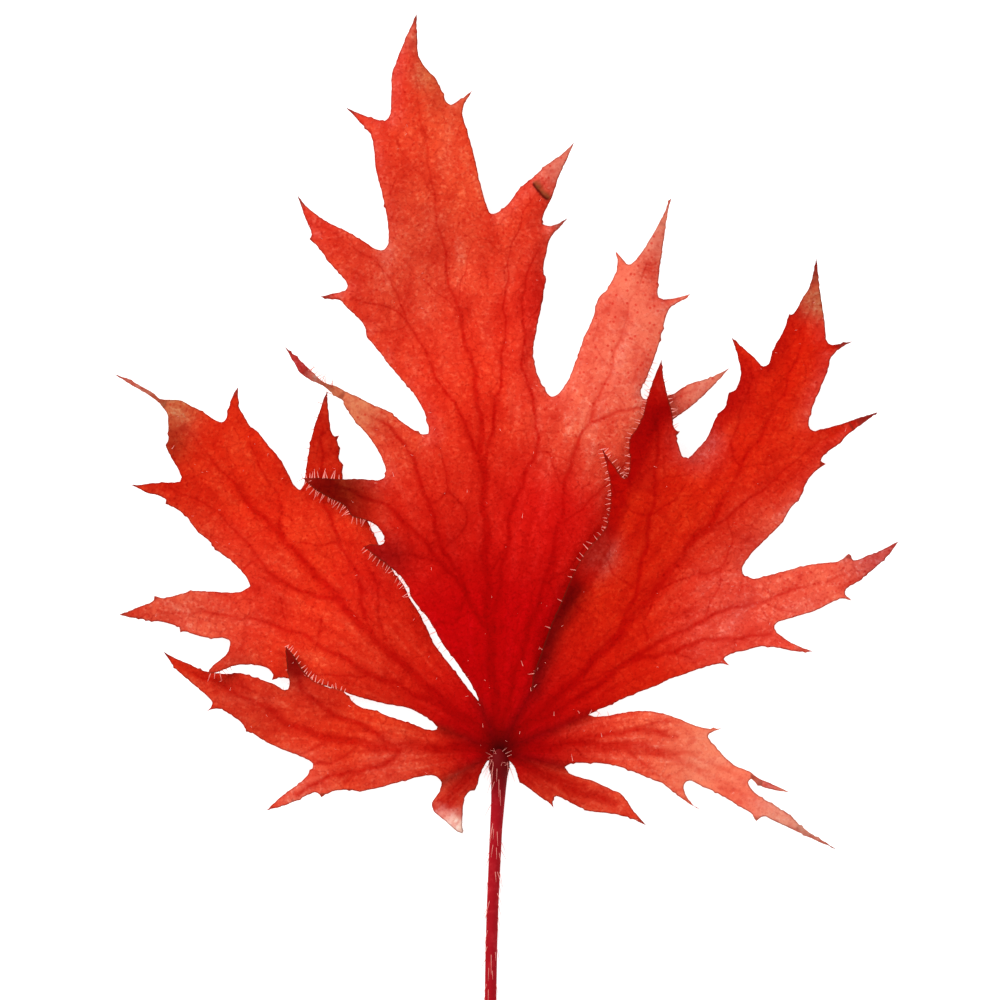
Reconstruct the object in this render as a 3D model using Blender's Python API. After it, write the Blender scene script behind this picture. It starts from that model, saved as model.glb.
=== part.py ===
"""A picked coral bells leaf, lying face up on a surface: a thin waved blade cut into seven toothed
lobes, with ribs under it, on a cut stalk. The blade and the stalk grew as one piece.

The outlines are drawn on squared paper, with the stalk's top near (0, 0), x to the right and y
towards the leaf's tip. SQUARE is the size of one of those squares. Heights and other sizes are metres.
"""

import math

import bmesh
import bpy
import numpy as np
from mathutils import Vector
from mathutils.geometry import delaunay_2d_cdt

BLADE_WIDTH = 0.090
SQUARE = BLADE_WIDTH / 78.4
BLADE_THICKNESS = 0.00066
HUB_HEIGHT = 0.00135
SHOULDER_RISE = 0.0007
SHOULDER = (6, 20)  # where the shoulder's rise begins and ends, in squares from the hub
ROLL_HEIGHT = 0.0004
ROLL_START = (8, 22)
TIP_CURL = 0.00005  # for each square that a tip stands from the hub
CURLED_SHARE = (0.6, 1.12)  # the share of the way to the tip over which the curl grows

# Where the blade sags onto the surface: x, y and radius in squares.
RESTS = [(-24.0, 20.0, 8.5), (20.0, 17.0, 8.5), (-2.0, 46.0, 9.0)]
REST_SAG = 0.0027

# Degrees round the hub, clockwise from the stalk, and how many squares the tips stand from it there.
TIP_REACHES = [(0, 12), (35, 12), (86, 35), (130, 52), (182, 75), (228, 58), (262, 37), (305, 17),
               (360, 12)]
RAMP = 6.0

RIB_DEPTH = 0.00035
RIB_HALF_WIDTH = 0.0011
RIB_TAPER = 0.75
RIB_TAPER_SPAN = (10, 62)
GROOVE_DEPTH = 0.00005

STALK_SIDES = 12
# From inside the blade's base to the cut end: x and y in squares, height and radius in metres.
STALK_PATH = [
    (-0.10, 2.4, 0.00150, 0.00036),
    (-0.10, 1.2, 0.00138, 0.00068),
    (-0.10, 0.3, 0.00136, 0.00114),
    (-0.10, -0.5, 0.00134, 0.00126),
    (-0.10, -1.6, 0.00112, 0.00098),
    (-0.15, -2.8, 0.00092, 0.00088),
    (-0.22, -4.2, 0.00082, 0.00080),
    (-0.40, -6.9, 0.00072, 0.00072),
    (-0.60, -11.3, 0.000695, 0.00072),
    (-0.75, -14.7, 0.000676, 0.00070),
    (-0.88, -19.1, 0.000676, 0.00070),
    (-0.95, -24.0, 0.000676, 0.00070),
    (-0.90, -29.0, 0.000676, 0.00070),
    (-0.70, -34.0, 0.000676, 0.00070),
    (-0.45, -37.7, 0.000676, 0.00070),
]

# How finely the blade is split, in squares.
MARGIN_STEP = 1.15
VEIN_STEP = 2.2
CUT_STEPS = 3
FILL_STEP = 2.5
MARGIN_CLEARANCE = 0.8
SIDE_CLEARANCE = 0.75
FILL_CLEARANCE = 1.5
PLACE_CLEARANCE = 1.5
MERGE_DISTANCE = 0.0001

LEAF_RED = (0.62, 0.035, 0.012, 1.0)
LEAF_ROUGHNESS = 0.55


class Tip(tuple):
    """A point where a margin turns sharply. Through its other points a margin runs smoothly."""


def tip(x, y):
    return Tip((x, y))


HUB = (-0.1, 0.9)
STALK_LEFT = (-1.25, 0.0)
BASAL_LEFT_NOTCH = (-5.85, -2.25)
LOWER_LEFT_SINUS = (-6.27, 3.3)
LEFT_SINUS = (-2.15, 5.9)
RIGHT_SINUS = (3.2, 7.0)
LOWER_RIGHT_SINUS = (8.9, 4.5)
BASAL_RIGHT_NOTCH = (6.5, -0.7)
STALK_RIGHT = (0.95, -0.1)
STALK_MIDDLE = (-0.1, -0.2)

# Margins run clockwise, seen from above, from the sinus or notch before a lobe to the one after it.
BASAL_LEFT_MARGIN = [
    STALK_MIDDLE, tip(*STALK_LEFT),
    (-1.5, -0.5), (-2.0, -1.5), (-2.2, -2.4), tip(-2.55, -3.05),
    (-3.0, -3.1), (-3.4, -3.6), (-3.65, -4.6), (-3.75, -6.2), tip(-3.75, -7.35),
    (-4.3, -7.1), (-5.4, -6.15), (-6.75, -4.9), (-6.8, -4.3), (-6.4, -3.65), (-5.9, -2.9),
    BASAL_LEFT_NOTCH,
]

LOWER_LEFT_MARGIN = [
    BASAL_LEFT_NOTCH,
    (-6.4, -1.65), (-7.2, -1.55), (-9.5, -2.05), (-11.8, -2.7), (-13.2, -3.0), tip(-14.0, -3.2),
    (-14.8, -3.0), (-16.5, -3.07), (-17.2, -3.35), tip(-17.85, -3.68),
    (-18.3, -3.27), (-19.0, -3.38), (-20.3, -4.05), (-22.0, -4.7), tip(-23.35, -5.0),
    (-22.3, -4.0), (-21.3, -3.15), (-20.1, -2.35), (-19.1, -1.3), (-18.7, -0.6), (-18.9, -0.15),
    (-20.0, 0.4), (-22.0, 1.17), (-23.8, 2.05), (-24.9, 2.8), tip(-25.4, 2.85),
    (-25.5, 3.3), (-26.0, 3.85), (-26.9, 4.5), (-27.8, 5.05), (-28.6, 5.14), tip(-29.35, 4.85),
    (-28.9, 5.25), (-28.77, 5.7), (-29.1, 6.2), (-30.0, 7.0), (-31.2, 8.05), (-32.2, 8.9),
    (-33.0, 9.9), tip(-33.65, 10.87),
    (-32.7, 10.32), (-31.4, 9.75), (-30.0, 9.07), (-29.3, 8.87), (-28.4, 8.7), (-27.2, 8.6),
    (-26.0, 8.7), (-24.8, 8.35), (-23.4, 7.87), (-22.5, 7.55), (-21.6, 7.0), (-21.2, 7.07),
    (-21.06, 7.6), (-21.2, 8.8), (-21.37, 10.0), tip(-21.43, 11.37),
    (-20.9, 10.8), (-20.3, 9.95), (-19.65, 8.85), (-18.8, 8.0), (-17.5, 7.4), (-16.0, 7.0),
    (-15.3, 6.55), (-14.6, 5.75), (-13.8, 5.23), (-12.8, 5.05), (-11.0, 4.35), (-9.2, 3.77),
    (-7.5, 3.13), (-6.8, 2.97), (-6.35, 3.07),
    LOWER_LEFT_SINUS,
]

LEFT_MARGIN = [
    LOWER_LEFT_SINUS,
    (-6.6, 3.7), (-7.6, 4.4), (-9.2, 5.17), (-11.2, 5.55), (-13.0, 6.0), (-14.8, 6.5),
    (-16.8, 7.2), (-19.0, 7.8), (-21.1, 8.1), (-21.9, 8.23), tip(-22.85, 7.97),
    (-22.7, 8.5), (-23.1, 9.05), (-24.0, 9.42), (-25.2, 9.52), (-26.5, 9.47), (-27.4, 9.1),
    (-28.1, 8.8), tip(-29.3, 8.65),
    (-28.7, 9.45), (-27.9, 10.1), (-27.3, 10.65), (-27.0, 11.5), (-27.1, 12.0), (-27.8, 12.16),
    (-29.2, 12.22), (-30.7, 12.57), (-31.5, 12.82), tip(-31.95, 12.78),
    (-32.1, 13.27), (-32.8, 13.53), (-34.2, 13.87), tip(-34.85, 13.8),
    (-35.4, 14.03), (-36.7, 14.2), tip(-38.05, 14.55),
    (-36.8, 15.03), (-35.4, 15.6), (-34.6, 16.0), tip(-34.5, 16.34),
    (-33.6, 16.22), (-32.2, 16.54), (-30.7, 16.9), (-28.8, 16.83), (-27.0, 16.73), (-25.7, 16.95),
    (-25.07, 17.4), (-25.25, 18.0), (-26.0, 19.0), (-27.3, 20.2), (-28.5, 21.05), (-29.1, 21.9),
    (-30.2, 22.75), (-30.67, 23.3), (-31.3, 24.25), (-32.2, 25.0), (-32.9, 25.35), tip(-33.47, 25.6),
    (-33.4, 26.0), (-34.0, 26.4), (-35.1, 26.65), (-35.9, 27.03), tip(-36.87, 27.52),
    (-35.8, 27.52), (-35.0, 27.67), (-33.5, 27.77), (-32.3, 27.8), (-31.83, 28.0), (-32.0, 28.65),
    (-32.6, 29.8), (-33.1, 30.7), tip(-33.42, 31.5),
    (-33.2, 31.85), (-33.15, 33.2), (-33.25, 34.5), (-33.8, 35.4), (-34.7, 36.2), (-36.0, 37.02),
    (-37.3, 37.78), tip(-38.5, 38.54),
    (-37.3, 38.16), (-35.9, 37.42), (-34.5, 36.6), (-34.0, 36.14), (-33.0, 36.02), (-32.1, 36.0),
    (-31.0, 35.5), (-29.5, 34.67), (-28.3, 33.9), (-27.8, 33.76), (-27.45, 34.0), (-27.2, 34.9),
    (-26.9, 36.1), (-26.6, 36.7), tip(-26.2, 37.3),
    (-26.17, 36.3), (-26.05, 35.15), (-25.6, 34.45), (-25.1, 33.5), (-24.3, 32.9), (-23.0, 31.25),
    (-22.0, 30.1), (-21.2, 28.65), (-20.6, 27.45), (-20.0, 27.03), (-19.65, 27.5), (-19.5, 28.5),
    (-19.3, 30.0), (-18.9, 32.0), (-18.6, 33.2), (-18.0, 35.0), (-17.6, 36.2), tip(-17.3, 37.0),
    (-17.2, 35.5), (-17.0, 33.6), (-16.85, 32.7), (-16.55, 32.37), tip(-16.1, 32.45),
    (-16.25, 32.0), (-16.05, 30.9), (-16.13, 30.2), tip(-15.7, 29.5),
    (-15.77, 28.5), (-15.4, 27.0), (-14.4, 25.3), (-13.3, 24.0), (-12.8, 22.9), (-12.2, 21.7),
    (-11.4, 20.1), (-10.3, 18.3), (-9.65, 17.5), (-9.1, 16.3), (-8.2, 14.9), (-7.4, 13.4),
    (-6.7, 11.8), (-5.7, 10.4), (-4.3, 8.6), (-3.0, 6.9),
    LEFT_SINUS,
]

CENTRAL_MARGIN = [
    LEFT_SINUS,
    (-2.5, 6.9), (-3.4, 8.4), (-4.7, 10.25), (-5.8, 11.7), (-6.5, 13.0), (-7.3, 14.3),
    (-8.2, 15.4), (-8.9, 16.35), (-9.15, 17.2), (-10.0, 18.45), (-11.1, 19.4), (-12.5, 20.4),
    tip(-13.6, 21.35),
    (-12.7, 21.57), (-11.9, 21.55), (-11.5, 21.9), (-11.7, 22.6), (-12.5, 23.55), (-13.5, 24.0),
    (-14.8, 24.4), (-15.5, 25.4), (-17.0, 26.2), (-18.5, 27.05), tip(-19.7, 28.2),
    (-18.0, 28.2), (-15.7, 28.07), (-14.0, 28.12), (-12.2, 28.0), (-11.6, 28.2), (-11.4, 28.9),
    (-11.7, 29.9), (-12.4, 31.3), (-13.4, 32.7), (-14.4, 33.7), (-15.3, 35.05), tip(-15.65, 35.6),
    (-15.65, 35.85), (-16.4, 36.37), (-17.2, 37.0), (-17.7, 37.43), (-18.9, 37.95),
    (-19.95, 38.7), (-20.6, 39.75), (-21.05, 40.55), tip(-21.5, 41.3),
    (-20.3, 40.3), (-19.0, 39.05), (-18.0, 38.1), (-17.3, 37.65), (-16.6, 37.45), (-15.5, 36.9),
    (-14.0, 36.2), (-12.5, 35.45), (-11.2, 34.9), (-9.7, 33.75), (-8.5, 32.95), (-7.7, 32.55),
    (-7.2, 32.65), (-7.15, 33.3), (-7.6, 34.8), (-8.7, 36.7), (-10.0, 38.25), (-11.2, 39.6),
    tip(-11.65, 40.3),
    (-12.5, 41.35), (-13.3, 42.25), (-13.5, 43.3), (-14.4, 44.4), (-15.4, 45.3), (-16.0, 45.95),
    (-17.0, 46.05), tip(-17.95, 46.3),
    (-16.7, 46.63), (-15.5, 46.95), (-15.2, 47.4), (-15.9, 48.45), (-17.3, 50.0), (-18.0, 51.1),
    tip(-19.05, 52.05),
    (-18.8, 52.5), (-19.3, 53.8), (-19.9, 55.4), tip(-20.2, 56.45),
    (-19.4, 55.4), (-18.0, 54.3), (-16.6, 53.45), (-15.0, 52.7), (-13.6, 51.85), (-12.5, 51.12),
    (-11.6, 51.05), (-11.17, 51.7), (-11.2, 53.5), (-11.7, 56.2), (-12.4, 59.0), (-12.6, 61.0),
    (-12.95, 62.5), (-14.2, 63.9), tip(-15.3, 65.1),
    (-14.0, 64.55), (-12.6, 64.07), (-11.5, 63.85), (-11.0, 64.4), (-10.85, 66.5), (-10.77, 68.6),
    (-10.4, 69.6), (-9.6, 71.7), (-8.9, 73.2), tip(-8.33, 74.5),
    (-8.25, 72.2), (-8.1, 70.3), (-7.3, 69.0), (-6.4, 68.05), (-5.8, 66.8), (-5.35, 65.75),
    (-4.9, 65.47), (-4.1, 65.9), tip(-2.7, 66.9),
    (-3.4, 65.8), (-3.75, 64.6), (-3.3, 63.0), (-2.6, 60.5), (-2.0, 57.8), (-1.4, 55.6),
    (-0.9, 54.65), (-0.2, 54.8), (0.8, 55.6), (1.9, 57.1), (3.1, 58.1), (4.7, 59.5), (6.1, 60.5),
    tip(7.4, 61.75),
    (6.8, 60.3), (5.9, 58.3), (5.2, 56.3), (4.4, 54.6), (4.25, 53.6), (4.8, 53.4), (5.7, 53.6),
    tip(6.75, 54.15),
    (5.9, 53.2), (5.0, 52.15), (4.7, 50.9), (4.35, 48.9), tip(4.65, 48.1),
    (4.3, 46.4), (4.1, 45.1), (3.7, 43.2), (3.35, 40.7), (3.7, 38.8), (4.4, 37.2), (5.1, 36.37),
    (5.8, 36.6), (6.8, 38.0), (7.6, 40.0), (8.3, 42.0), (9.3, 44.3), (9.8, 46.1), (10.7, 47.1),
    (11.6, 48.8), (11.73, 49.8), tip(11.53, 50.9),
    (12.1, 50.3), (12.85, 49.53), (13.8, 50.3), (15.0, 52.1), (16.2, 54.3), tip(17.13, 56.35),
    (16.7, 54.3), (16.4, 52.1), (16.05, 49.7), (15.8, 47.5), (15.9, 46.25), (16.9, 46.07),
    (18.0, 46.3), tip(19.1, 46.63),
    (18.2, 45.95), (17.0, 45.2), (16.58, 44.2), (16.0, 42.0), (15.3, 39.8), (14.5, 37.8),
    (14.05, 36.8), (14.3, 36.15), (15.5, 36.2), (17.2, 36.6), (19.0, 37.65), (20.8, 38.15),
    tip(22.95, 39.2),
    (21.8, 37.9), (20.3, 36.4), (18.8, 35.1), (17.4, 34.1), (16.4, 32.8), (15.5, 31.0),
    (14.5, 28.8), (13.5, 26.3), (12.8, 24.0), (11.9, 21.4), (10.5, 18.6), (8.6, 16.4), (6.9, 14.8),
    (5.2, 12.8), (3.9, 10.6), (3.22, 8.7),
    RIGHT_SINUS,
]

RIGHT_MARGIN = [
    RIGHT_SINUS,
    (3.42, 8.7), (4.1, 10.6), (5.0, 13.2), (6.1, 15.8), (7.2, 18.3), (8.6, 20.8), (9.8, 22.2),
    (10.6, 23.3), (10.95, 25.0), (11.05, 27.2), (10.7, 29.2), tip(10.2, 31.1),
    (10.9, 30.1), (11.8, 28.9), (12.4, 28.15), (12.8, 28.6), (12.97, 30.2), (12.97, 32.2),
    (13.7, 33.2), (14.3, 34.5), (14.7, 36.1), (15.4, 38.2), tip(16.15, 40.05),
    (16.3, 38.5), (16.7, 36.6), (17.2, 34.8), (17.45, 33.1), tip(18.0, 32.85),
    (17.65, 32.4), (17.9, 31.3), (18.35, 30.25), (18.8, 30.2), (19.8, 31.2), (20.7, 32.2),
    (21.3, 33.6), (21.8, 34.6), (22.5, 35.3), tip(22.85, 36.75),
    (23.5, 37.0), (24.05, 38.5), (23.7, 40.5), tip(23.13, 42.25),
    (24.2, 41.3), (25.4, 40.2), (26.3, 39.35), (26.8, 39.6), (27.3, 41.1), (28.3, 42.9),
    tip(28.85, 44.55),
    (29.3, 44.6), (30.1, 46.0), (30.9, 47.3), (31.25, 48.7), tip(31.57, 50.2),
    (31.75, 48.5), (32.0, 46.4), (32.4, 44.0), (32.6, 41.9), (33.0, 41.5), (34.0, 41.62),
    tip(35.2, 41.85),
    (34.1, 41.2), (33.1, 40.3), (32.7, 38.8), (31.9, 36.9), (31.1, 34.9), (30.87, 33.4),
    (31.3, 32.9), (32.6, 33.17), (34.3, 33.65), (35.8, 34.2), tip(37.7, 34.77),
    (36.2, 33.6), (34.9, 32.65), (33.8, 31.5), (32.6, 30.7), (32.08, 29.9), tip(32.6, 29.6),
    (31.8, 29.1), (30.8, 28.0), (30.1, 26.4), (29.0, 25.1), (28.1, 23.6), (26.6, 22.1),
    (25.0, 20.4), (24.25, 19.0), (24.5, 18.4), (25.4, 18.15), (27.2, 18.55), (29.2, 19.1),
    (31.5, 19.63), (33.8, 19.9), tip(34.85, 20.63),
    (35.3, 20.0), (36.8, 20.5), (38.4, 21.12), tip(39.9, 22.0),
    (38.9, 20.6), (37.5, 19.25), (35.9, 17.9), (34.6, 17.1), (34.5, 16.55), tip(35.1, 15.97),
    (34.2, 16.15), (33.4, 15.9), (31.5, 14.9), (29.5, 14.3), (27.7, 13.7), (27.45, 13.15),
    (28.5, 12.15), (29.9, 11.4), tip(31.35, 10.85),
    (29.7, 10.85), (28.0, 11.15), (26.2, 11.35), (24.5, 10.9), (23.1, 10.6), (22.4, 10.1),
    tip(22.95, 9.45),
    (22.0, 9.6), (20.4, 9.25), (18.4, 8.55), (16.7, 7.95), (15.5, 7.37), (13.3, 6.55),
    (11.2, 5.6), (9.6, 4.9),
    LOWER_RIGHT_SINUS,
]

LOWER_RIGHT_MARGIN = [
    LOWER_RIGHT_SINUS,
    (9.7, 4.33), (11.2, 4.52), (12.8, 4.8), (14.5, 4.93), (16.0, 4.7), (17.7, 4.2), (19.3, 3.55),
    (20.5, 3.17), tip(22.25, 3.15),
    (21.2, 2.8), (20.8, 2.4), (21.4, 1.55), (22.4, 0.4), (23.6, -0.6), (24.9, -1.1), (25.6, -1.65),
    (27.0, -2.3), tip(28.9, -3.17),
    (27.2, -2.95), (25.8, -2.45), (25.1, -1.9), (24.8, -2.2), (25.2, -3.0), (26.2, -3.75),
    (27.6, -4.58), (29.0, -5.45), (29.9, -6.4), (31.0, -7.25), (32.3, -8.05), tip(33.9, -9.07),
    (32.1, -8.25), (30.6, -7.55), (28.8, -6.7), (27.4, -6.08), (26.3, -5.6), tip(25.6, -6.07),
    (25.0, -5.25), (23.8, -4.55), (22.0, -3.45), (20.3, -2.67), (18.9, -2.07), (18.45, -2.35),
    (18.45, -3.1), (19.0, -4.2), tip(20.15, -5.03),
    (18.8, -4.3), (17.5, -3.35), (16.2, -2.3), (15.5, -2.07), (14.1, -1.5), (12.3, -0.8),
    (10.5, -0.4), (8.5, -0.33), (7.1, -0.37),
    BASAL_RIGHT_NOTCH,
]

BASAL_RIGHT_MARGIN = [
    BASAL_RIGHT_NOTCH,
    (6.9, -1.3), (7.9, -1.7), (9.0, -1.97), (10.2, -2.5), (11.3, -3.0), (12.2, -3.45),
    (12.9, -4.35), (13.3, -5.0), tip(14.8, -6.67),
    (13.3, -5.9), (12.0, -5.53), (10.6, -5.28), (9.0, -5.13), (7.8, -4.65), (6.5, -4.0),
    (5.65, -3.63), (5.3, -3.95), tip(5.35, -4.77),
    (4.9, -4.3), (4.2, -3.85), (3.1, -3.0), (2.05, -2.2), (1.7, -1.4), (1.4, -0.6),
    tip(*STALK_RIGHT), STALK_MIDDLE,
]

# Each vein starts at the hub or on another vein, and runs towards a tip.
LOWER_LEFT_VEINS = [
    [HUB, (-3.0, 1.1), (-6.0, 1.25), (-10.0, 1.3), (-14.1, 1.6), (-17.3, 2.3), (-20.0, 3.1),
     (-23.0, 4.9), (-27.5, 7.2), (-31.0, 8.9)],
    [(-10.0, 1.3), (-12.1, 2.4), (-14.0, 3.6), (-17.1, 4.9), (-19.4, 6.8), (-20.3, 8.6)],
    [(-10.0, 1.3), (-10.9, -0.1), (-13.9, -1.0), (-17.6, -1.9), (-20.2, -3.3)],
]
LEFT_VEINS = [
    [HUB, (-3.2, 3.9), (-7.0, 7.2), (-10.5, 10.2), (-13.0, 12.5), (-15.5, 15.5), (-17.8, 17.9),
     (-20.3, 20.4), (-22.8, 23.4), (-25.7, 26.3), (-28.7, 29.9), (-31.5, 33.6)],
    [(-15.5, 15.5), (-18.2, 16.5), (-21.9, 17.9), (-24.1, 20.2), (-26.6, 22.9), (-29.8, 25.9),
     (-33.3, 27.1)],
    [(-3.2, 3.9), (-8.3, 6.6), (-12.8, 8.6), (-16.9, 10.9), (-20.7, 12.9), (-25.5, 14.2),
     (-30.0, 14.7), (-34.0, 14.8)],
    [(-20.3, 20.4), (-21.8, 22.9), (-22.0, 25.5), (-23.4, 28.5), (-25.0, 31.6)],
    [(-13.0, 12.5), (-13.6, 15.2), (-14.4, 18.6), (-16.0, 22.0), (-17.3, 24.5), (-17.9, 28.0),
     (-17.7, 32.5)],
]
CENTRAL_VEINS = [
    [HUB, (-0.5, 6.0), (-1.0, 12.0), (-1.3, 18.0), (-1.5, 24.0), (-1.7, 28.0), (-1.9, 33.0),
     (-2.5, 38.0), (-3.8, 43.5), (-5.0, 47.7), (-5.8, 51.8), (-6.6, 56.0), (-7.3, 61.0),
     (-8.1, 65.5), (-8.7, 69.5)],
    [(-1.7, 28.0), (-0.9, 32.5), (-0.1, 37.4), (0.4, 41.5), (0.6, 47.7), (1.4, 52.0), (3.0, 55.6),
     (5.0, 58.4)],
    [(-1.0, 12.0), (0.4, 20.0), (1.4, 25.6), (3.5, 30.6), (3.7, 34.0), (2.4, 38.8), (2.4, 43.5),
     (2.4, 47.5), (4.0, 51.2)],
    [HUB, (1.0, 6.5), (2.6, 12.0), (4.4, 17.6), (5.9, 23.4), (6.9, 29.2), (8.7, 33.8), (11.0, 39.0),
     (12.9, 45.0), (14.7, 49.6)],
    [(8.7, 33.8), (12.0, 34.7), (16.0, 35.7), (19.5, 36.9)],
    [(-1.7, 28.0), (-2.5, 31.3), (-4.9, 36.0), (-6.9, 39.4), (-9.0, 43.6), (-10.3, 46.4),
     (-12.0, 49.3), (-15.0, 51.6), (-17.6, 53.4)],
    [(-1.0, 12.0), (-3.2, 16.5), (-5.5, 21.0), (-7.2, 25.6), (-8.5, 29.6), (-10.7, 32.8),
     (-13.6, 35.0)],
    [(-3.2, 16.5), (-6.0, 19.8), (-9.5, 24.0), (-12.5, 26.0), (-16.0, 27.2)],
    [(-9.0, 43.6), (-11.0, 45.3), (-14.5, 46.0)],
    [(-6.6, 56.0), (-8.4, 59.3), (-10.6, 61.9)],
]
RIGHT_VEINS = [
    [HUB, (2.4, 3.1), (7.0, 7.4), (12.0, 13.0), (15.5, 17.0), (18.7, 21.2), (21.6, 24.6),
     (24.0, 29.3), (26.9, 34.1), (28.9, 38.5), (30.3, 42.5), (31.2, 46.0)],
    [(12.0, 13.0), (13.6, 16.9), (14.5, 21.0), (15.1, 24.5), (15.6, 29.0), (15.8, 34.0)],
    [(24.0, 29.3), (23.2, 31.6), (23.9, 34.2), (24.9, 37.0), (25.0, 39.2)],
    [(18.7, 21.2), (23.0, 24.4), (27.0, 27.8), (30.5, 30.8), (33.6, 32.6)],
    [(2.4, 3.1), (5.2, 4.6), (8.5, 6.8), (12.7, 9.7), (16.6, 12.1), (21.6, 14.5), (26.4, 16.0),
     (31.0, 17.4), (35.4, 19.1)],
    [(12.7, 9.7), (17.5, 11.0), (22.5, 12.2), (27.0, 12.4)],
]
LOWER_RIGHT_VEINS = [
    [HUB, (3.2, 1.2), (7.0, 1.6), (11.8, 1.5), (14.5, 1.2), (18.5, -0.4), (22.0, -2.2),
     (25.0, -4.0), (27.6, -5.3)],
    [(7.0, 1.6), (10.5, 2.6), (14.0, 3.0), (17.8, 2.4)],
    [(14.5, 1.2), (18.2, 0.7), (21.0, -0.2), (23.6, -1.5)],
]
BASAL_RIGHT_VEINS = [[HUB, (2.8, -0.6), (5.7, -2.1), (9.0, -3.5), (11.4, -4.4)]]
BASAL_LEFT_VEINS = [[(-3.2, -1.6), (-4.5, -2.9), (-5.0, -4.6)]]


def turn_of(x, y):
    """Degrees clockwise from the stalk, as seen from above round the hub."""
    return np.degrees(np.arctan2(HUB[0] - x, HUB[1] - y)) % 360


def smoothstep(low, high, value):
    t = np.clip((value - low) / (high - low), 0, 1)
    return t * t * (3 - 2 * t)


class Lobe:
    """One lobe: its margin and veins, and how far each of its two sides stands up or down.

    A rise is a side's height over the general form of the blade. It is reached within RAMP squares
    outside the notch on that side. A swell is local: x, y and radius in squares, and its height.
    """

    def __init__(self, margin, veins, first_rise=0.0, last_rise=0.0, swells=()):
        self.margin = margin
        self.veins = veins
        self.rises = (first_rise, last_rise)
        self.swells = swells
        self.notches = (margin[0], margin[-1])
        self.first_turn = float(turn_of(*margin[0]))
        self.full_turn = (float(turn_of(*margin[-1])) - self.first_turn) % 360


LOBES = [
    Lobe(BASAL_LEFT_MARGIN, BASAL_LEFT_VEINS, swells=[(-4.6, -7.2, 2.6, 0.0016)]),
    Lobe(LOWER_LEFT_MARGIN, LOWER_LEFT_VEINS, last_rise=0.0009, swells=[(-28.6, 8.6, 4.0, -0.0014)]),
    Lobe(LEFT_MARGIN, LEFT_VEINS, -0.0005, -0.00055, swells=[(-28.4, 9.2, 3.3, 0.0017)]),
    Lobe(CENTRAL_MARGIN, CENTRAL_VEINS, 0.0008, -0.0005),
    Lobe(RIGHT_MARGIN, RIGHT_VEINS, 0.0010, -0.0002),
    Lobe(LOWER_RIGHT_MARGIN, LOWER_RIGHT_VEINS, 0.0004, 0.0003),
    Lobe(BASAL_RIGHT_MARGIN, BASAL_RIGHT_VEINS, -0.0002),
]


def reach_at(turn):
    """The distance from the hub to the tips in this direction, eased from one lobe to the next."""
    turns, reaches = np.array(TIP_REACHES, float).T
    at = np.clip(np.searchsorted(turns, turn, side="right") - 1, 0, len(turns) - 2)
    ease = smoothstep(0, 1, (turn - turns[at]) / (turns[at + 1] - turns[at]))
    return reaches[at] + ease * (reaches[at + 1] - reaches[at])


def general_form(x, y, distance, turn):
    """The height that all lobes share: level at the hub, sagging at its rests, curled at the tips."""
    height = HUB_HEIGHT + SHOULDER_RISE * smoothstep(*SHOULDER, distance)
    for rest_x, rest_y, radius in RESTS:
        height -= REST_SAG * np.exp(-((x - rest_x) ** 2 + (y - rest_y) ** 2) / radius ** 2)
    rolls = np.sin(0.31 * x + 0.12 * y + 0.7) * np.sin(0.27 * y - 0.10 * x)
    height += ROLL_HEIGHT * rolls * smoothstep(*ROLL_START, distance)
    reach = reach_at(turn)
    return height + TIP_CURL * reach * smoothstep(*CURLED_SHARE, distance / reach)


def lobe_form(lobe, x, y):
    """Height of a lobe's underside between its ribs, before it is kept above the surface."""
    distance = np.hypot(x - HUB[0], y - HUB[1])
    turn = turn_of(x, y)
    height = general_form(x, y, distance, turn)
    across = ((turn - lobe.first_turn + 90) % 360 - 90) / lobe.full_turn
    across = np.clip(across, -0.2, 1.2)
    for rise, share, notch in zip(lobe.rises, (1 - across, across), lobe.notches):
        start = math.dist(notch, HUB)
        height += rise * share * smoothstep(start, start + RAMP, distance)
    for swell_x, swell_y, radius, rise in lobe.swells:
        height += rise * np.exp(-((x - swell_x) ** 2 + (y - swell_y) ** 2) / radius ** 2)
    return height


def distance_to_lines(x, y, lines):
    """The distance in squares from each place to the nearest of these lines."""
    nearest = np.full(np.shape(x), np.inf)
    for line in lines:
        for (ax, ay), (bx, by) in zip(line[:-1], line[1:]):
            run_x, run_y = bx - ax, by - ay
            along = ((x - ax) * run_x + (y - ay) * run_y) / (run_x ** 2 + run_y ** 2)
            along = np.clip(along, 0, 1)
            nearest = np.minimum(nearest, np.hypot(x - ax - along * run_x, y - ay - along * run_y))
    return nearest


def is_inside(x, y, border):
    """Whether each place is inside a closed border."""
    inside = np.zeros(np.shape(x), bool)
    for (ax, ay), (bx, by) in zip(border, border[1:] + border[:1]):
        if ay != by:
            crosses = (ay > y) != (by > y)
            inside ^= crosses & (x < ax + (y - ay) * (bx - ax) / (by - ay))
    return inside


def slope_through(before, here, after):
    """The direction in which a smooth line passes a point, by its neighbours and their distances."""
    back = math.sqrt((here - before).length)
    on = math.sqrt((after - here).length)
    return (here - before) / back - (after - before) / (back + on) + (after - here) / on


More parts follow.
